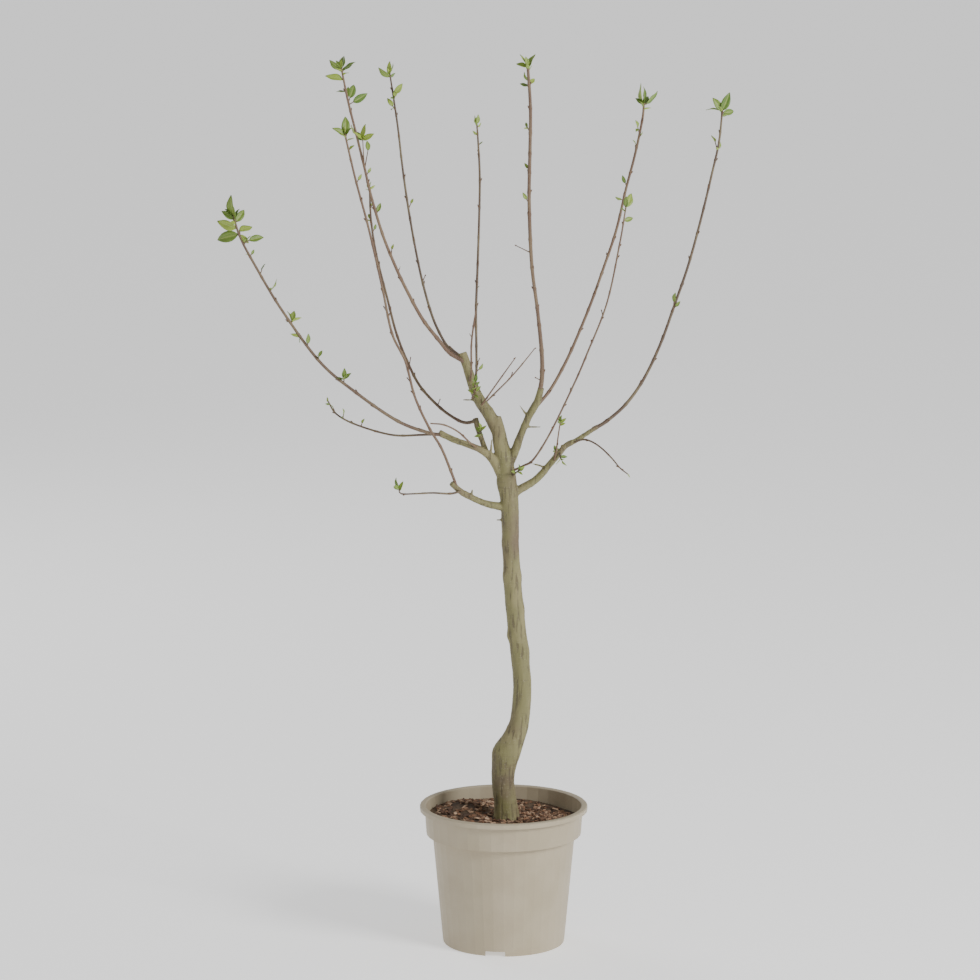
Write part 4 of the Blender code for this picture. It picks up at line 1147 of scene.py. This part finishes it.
# %% Pieces of the crown
def finished(name, shape, look):
    """A piece that rides on the pot's body and takes its finish from a slot."""
    mesh = bpy.data.meshes.new(name)
    shape.to_mesh(mesh)
    shape.free()
    piece = add_object(name, mesh, look)
    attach(piece, "root")
    print(name, "faces", len(mesh.polygons))
    return piece


stem_piece = finished("stems", stems, shoot_finish())
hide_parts(*SHOOTS)
bud_piece = finished("buds", buds, bud_finish())
leaf_piece = finished("leaves", leaves, leaf_finish())
for piece in (stem_piece, bud_piece, leaf_piece):
    piece.data.shade_smooth()
thickness = leaf_piece.modifiers.new("thickness", "SOLIDIFY")
thickness.thickness = LEAF_THICKNESS
thickness.offset = 0

# %% [markdown]
# ## Bark
# The trunk and boughs are one skin on the real tree: a bough swells out of the trunk with no seam. Round
# tubes are laid along the lines, joined by a voxel remesh and smoothed where they meet. A Boolean union
# would leave a crease there. The relief then comes from noise: upright ridges, shallow rings and lumps.

# %% Limb tubes
BARK_SIDES = 24
BARK_SPACING = 4 * MM
FOOT_SINK = 5
FOOT_FLARE = 1.04
KNOT_FORWARD = -0.4
SPUR_SIDES = 8
SPUR_RADIUS = 1.1 * MM
SPUR_FOOT = 1.5
SPUR_FORWARD_LEAN = -8


def swell(mesh):
    """Push the bark out round each knot, towards the side the knot is on."""
    for side, height, rise, reach in TRUNK_KNOTS:
        outward = Vector((side, KNOT_FORWARD, 0)).normalized()
        for vertex in mesh.vertices:
            near = math.exp(-(((vertex.co.z / MM - height) / reach) ** 2))
            towards = max(0.0, vertex.normal.xy.to_3d().dot(outward))
            vertex.co += outward * (rise * near * towards * towards * MM)


def trunk_tube():
    """The trunk, with its foot sunk a little into the compost and its knots swollen."""
    x, height, depth, radius = TRUNK_ROUTE[0]
    foot = (x, height - FOOT_SINK, depth, radius * FOOT_FLARE)
    mesh = tube_mesh(smooth_line((foot, *TRUNK_ROUTE), BARK_SPACING), BARK_SIDES)
    swell(mesh)
    return mesh


def spur_tube(line, height, lean, reach):
    """A bare spur that stays on a bough."""
    spot = place_on_line(line, height)
    tip = spot.xyz + leaning(lean, SPUR_FORWARD_LEAN) * (reach * MM)
    ends = [Vector((*spot.xyz, SPUR_FOOT * SPUR_RADIUS)), Vector((*tip, SPUR_RADIUS))]
    return tube_mesh(ends, SPUR_SIDES)


bark = bmesh.new()
for name, route in BARK_ROUTES.items():
    is_trunk = name == "trunk"
    bark.from_mesh(trunk_tube() if is_trunk else tube_mesh(smooth_line(route, BARK_SPACING), BARK_SIDES))
    for spur in BOUGH_SPURS.get(name, ()):
        bark.from_mesh(spur_tube(lines[name], *spur))
print("limb tubes have", len(bark.faces), "faces")

# %% Bark skin
BARK_VOXEL = 1.15 * MM
JOINT_SMOOTHING = 0.5
JOINT_PASSES = 4

bark_mesh = bpy.data.meshes.new("limbs")
bark.to_mesh(bark_mesh)
bark.free()
limbs = add_object("limbs", bark_mesh)
join = limbs.modifiers.new("join", "REMESH")
join.mode = "VOXEL"
join.voxel_size = BARK_VOXEL
soften = limbs.modifiers.new("soften", "SMOOTH")
soften.factor = JOINT_SMOOTHING
soften.iterations = JOINT_PASSES
bark_mesh = evaluated_mesh(limbs)
print("bark faces", len(bark_mesh.polygons))

# %% [markdown]
# ## Relief
# A normal is worked out again each time that a vertex moves, so all normals are read before the first
# vertex is pushed. Read one at a time inside the loop, they would take minutes.

# %% Relief
RIDGES = 0.35 * MM, Vector((260, 260, 42))
RINGS = 0.22 * MM, Vector((30, 30, 330))
LUMPS = 0.35 * MM, Vector((70, 70, 60))

outwards = [vertex.normal.copy() for vertex in bark_mesh.vertices]
for vertex, outward in zip(bark_mesh.vertices, outwards):
    rise = sum(height * noise.noise(vertex.co * grain) for height, grain in (RIDGES, RINGS, LUMPS))
    vertex.co += outward * rise
bark_mesh.name = "bark"
bark_mesh.shade_smooth()
print("relief up to", (RIDGES[0] + RINGS[0] + LUMPS[0]) / MM, "mm")

# %% [markdown]
# ## Bark finish
# Young plum bark is khaki olive, weathered to grey-brown in patches. Fine cracks run up it, faint rings
# run round it, and pale specks dot it. Each is noise of its own scale, and noise is stretched by
# squeezing the coordinates that feed it.

# %% Bark finish
BARK_OLIVE = (0.20, 0.185, 0.075)
BARK_KHAKI = (0.27, 0.24, 0.115)
BARK_BROWN = (0.15, 0.11, 0.065)
BARK_CRACK = (0.075, 0.055, 0.035)
BARK_RING = (0.11, 0.085, 0.05)
BARK_SPECK = (0.36, 0.33, 0.22)


def bark_finish():
    look = Look("olive bark", roughness=0.72)
    patches = look.step(look.cloud(per_metre=34, detail=5, stretch=(1, 1, 0.35)), low=0.42, high=0.62)
    cracks = look.step(look.cloud(per_metre=240, detail=4, stretch=(1, 1, 0.16)), low=0.52, high=0.66)
    rings = look.step(look.cloud(per_metre=150, detail=3, stretch=(0.2, 0.2, 1.6)), low=0.6, high=0.72)
    specks = look.step(look.cloud(per_metre=620, detail=2), low=0.62, high=0.72)
    weathering = look.step(look.cloud(per_metre=16, detail=4), low=0.45, high=0.7)
    weathered = look.mix(weathering, look.mix(patches, BARK_OLIVE, BARK_KHAKI), BARK_BROWN)
    cracked = look.mix(cracks * 0.6, weathered, BARK_CRACK)
    banded = look.mix(rings * 0.35, cracked, BARK_RING)
    colour = look.mix(specks * 0.5, banded, BARK_SPECK)
    height = 0.6 * look.cloud(per_metre=300, detail=5, stretch=(1, 1, 0.3)) - 0.5 * cracks
    return look.paint(colour, height, depth=0.7 * MM, roughness=0.62 + 0.2 * patches)


bark_piece = add_object("bark", bark_mesh, bark_finish())
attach(bark_piece, "root")
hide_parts(*BARK_ROUTES)
print("bark stands for", len(BARK_ROUTES), "solids")

# %% [markdown]
# ## Bark chips on the compost
# The top of the pot is mulched with bark chips, tan, pink and red-brown over dark compost. A texture
# would look flat here, because the chips stand up and shade each other. Each is a small block with its
# corners pushed about, laid nearly flat on the compost's own surface.

# %% Compost surface
# It is level round the trunk, and rises and dips as (x, y, change, spread) in millimetres.
SOIL_LEVEL = 167
SOIL_FLAT_RADIUS = 26
SOIL_BLEND = 16
SOIL_MOUNDS = (
    (-52, 34, 10, 34),
    (58, 42, -7, 40),
    (-20, -62, 2, 30),
    (50, -45, -3, 34),
)


def soil_height(x, y):
    """Height of the compost in millimetres: level round the trunk, mounded and dipping beyond it."""
    rise = sum(
        change * math.exp(-((x - at_x) ** 2 + (y - at_y) ** 2) / spread**2)
        for at_x, at_y, change, spread in SOIL_MOUNDS
    )
    away = min(1.0, max(0.0, (math.hypot(x, y) - SOIL_FLAT_RADIUS) / SOIL_BLEND))
    return SOIL_LEVEL + rise * away * away * (3 - 2 * away)


print("compost at the left mound is", round(soil_height(*SOIL_MOUNDS[0][:2]), 1), "mm up")

# %% Chips
CHIP_COUNT = 900
CHIP_REACH = 93
TRUNK_CLEAR = 15
CHIP_LENGTH = 3.5, 9
CHIP_WIDTH = 2.2, 4.6
CHIP_THICKNESS = 0.9, 2.2
CHIP_LIFT = 1.6
CORNER_PUSH = 0.16
CHIP_TILT = 0.5
CHIP_SIDE_TILT = 0.3

chips = bmesh.new()
chip_tone = chips.verts.layers.float.new("tone")


def add_chip(rng):
    """Add one chip somewhere on the compost."""
    out = CHIP_REACH * math.sqrt(rng.uniform((TRUNK_CLEAR / CHIP_REACH) ** 2, 1))
    angle = rng.uniform(0, 2 * math.pi)
    x, y = out * math.cos(angle), out * math.sin(angle)
    size = Vector([rng.uniform(*side) for side in (CHIP_LENGTH, CHIP_WIDTH, CHIP_THICKNESS)]) * MM
    tone = rng.uniform(0, 1)
    made = bmesh.ops.create_cube(chips, size=1.0)["verts"]
    for vertex in made:
        push = Vector([rng.uniform(-CORNER_PUSH, CORNER_PUSH) for side in size])
        vertex.co = (vertex.co + push) * size
        vertex[chip_tone] = tone
    turn = Matrix.Rotation(rng.uniform(0, 2 * math.pi), 3, "Z")
    tilt = Matrix.Rotation(rng.gauss(0, CHIP_TILT), 3, "X")
    side_tilt = Matrix.Rotation(rng.gauss(0, CHIP_SIDE_TILT), 3, "Y")
    bmesh.ops.rotate(chips, verts=made, matrix=turn @ tilt @ side_tilt)
    lift = soil_height(x, y) + rng.uniform(0.0, CHIP_LIFT)
    bmesh.ops.translate(chips, verts=made, vec=Vector((x, y, lift)) * MM)


chip_rng = random.Random("bark chips")
for index in range(CHIP_COUNT):
    add_chip(chip_rng)
print("chips", CHIP_COUNT)

# %% Chip finish
CHIP_BARK = (0.07, 0.035, 0.02)
CHIP_RED = (0.26, 0.13, 0.07)
CHIP_PINK = (0.56, 0.38, 0.25)
CHIP_SHADE = (0.09, 0.055, 0.035)


def chip_finish():
    look = Look("bark chips", roughness=0.85)
    tone = look.attribute("tone")
    fibres = look.cloud(per_metre=260, detail=4, stretch=(1, 1, 3))
    dark = look.mix(look.step(tone, low=0.1, high=0.45), CHIP_BARK, CHIP_RED)
    colour = look.mix(look.step(tone, low=0.5, high=0.95), dark, CHIP_PINK)
    # Painted shade: where the fibres sink, the chips are darkened towards CHIP_SHADE.
    shaded = look.mix(look.step(fibres, low=0.35, high=0.6), CHIP_SHADE, colour)
    return look.paint(look.mix(0.75, colour, shaded), height=fibres, depth=0.6 * MM)


chip_piece = finished("bark_chips", chips, chip_finish())
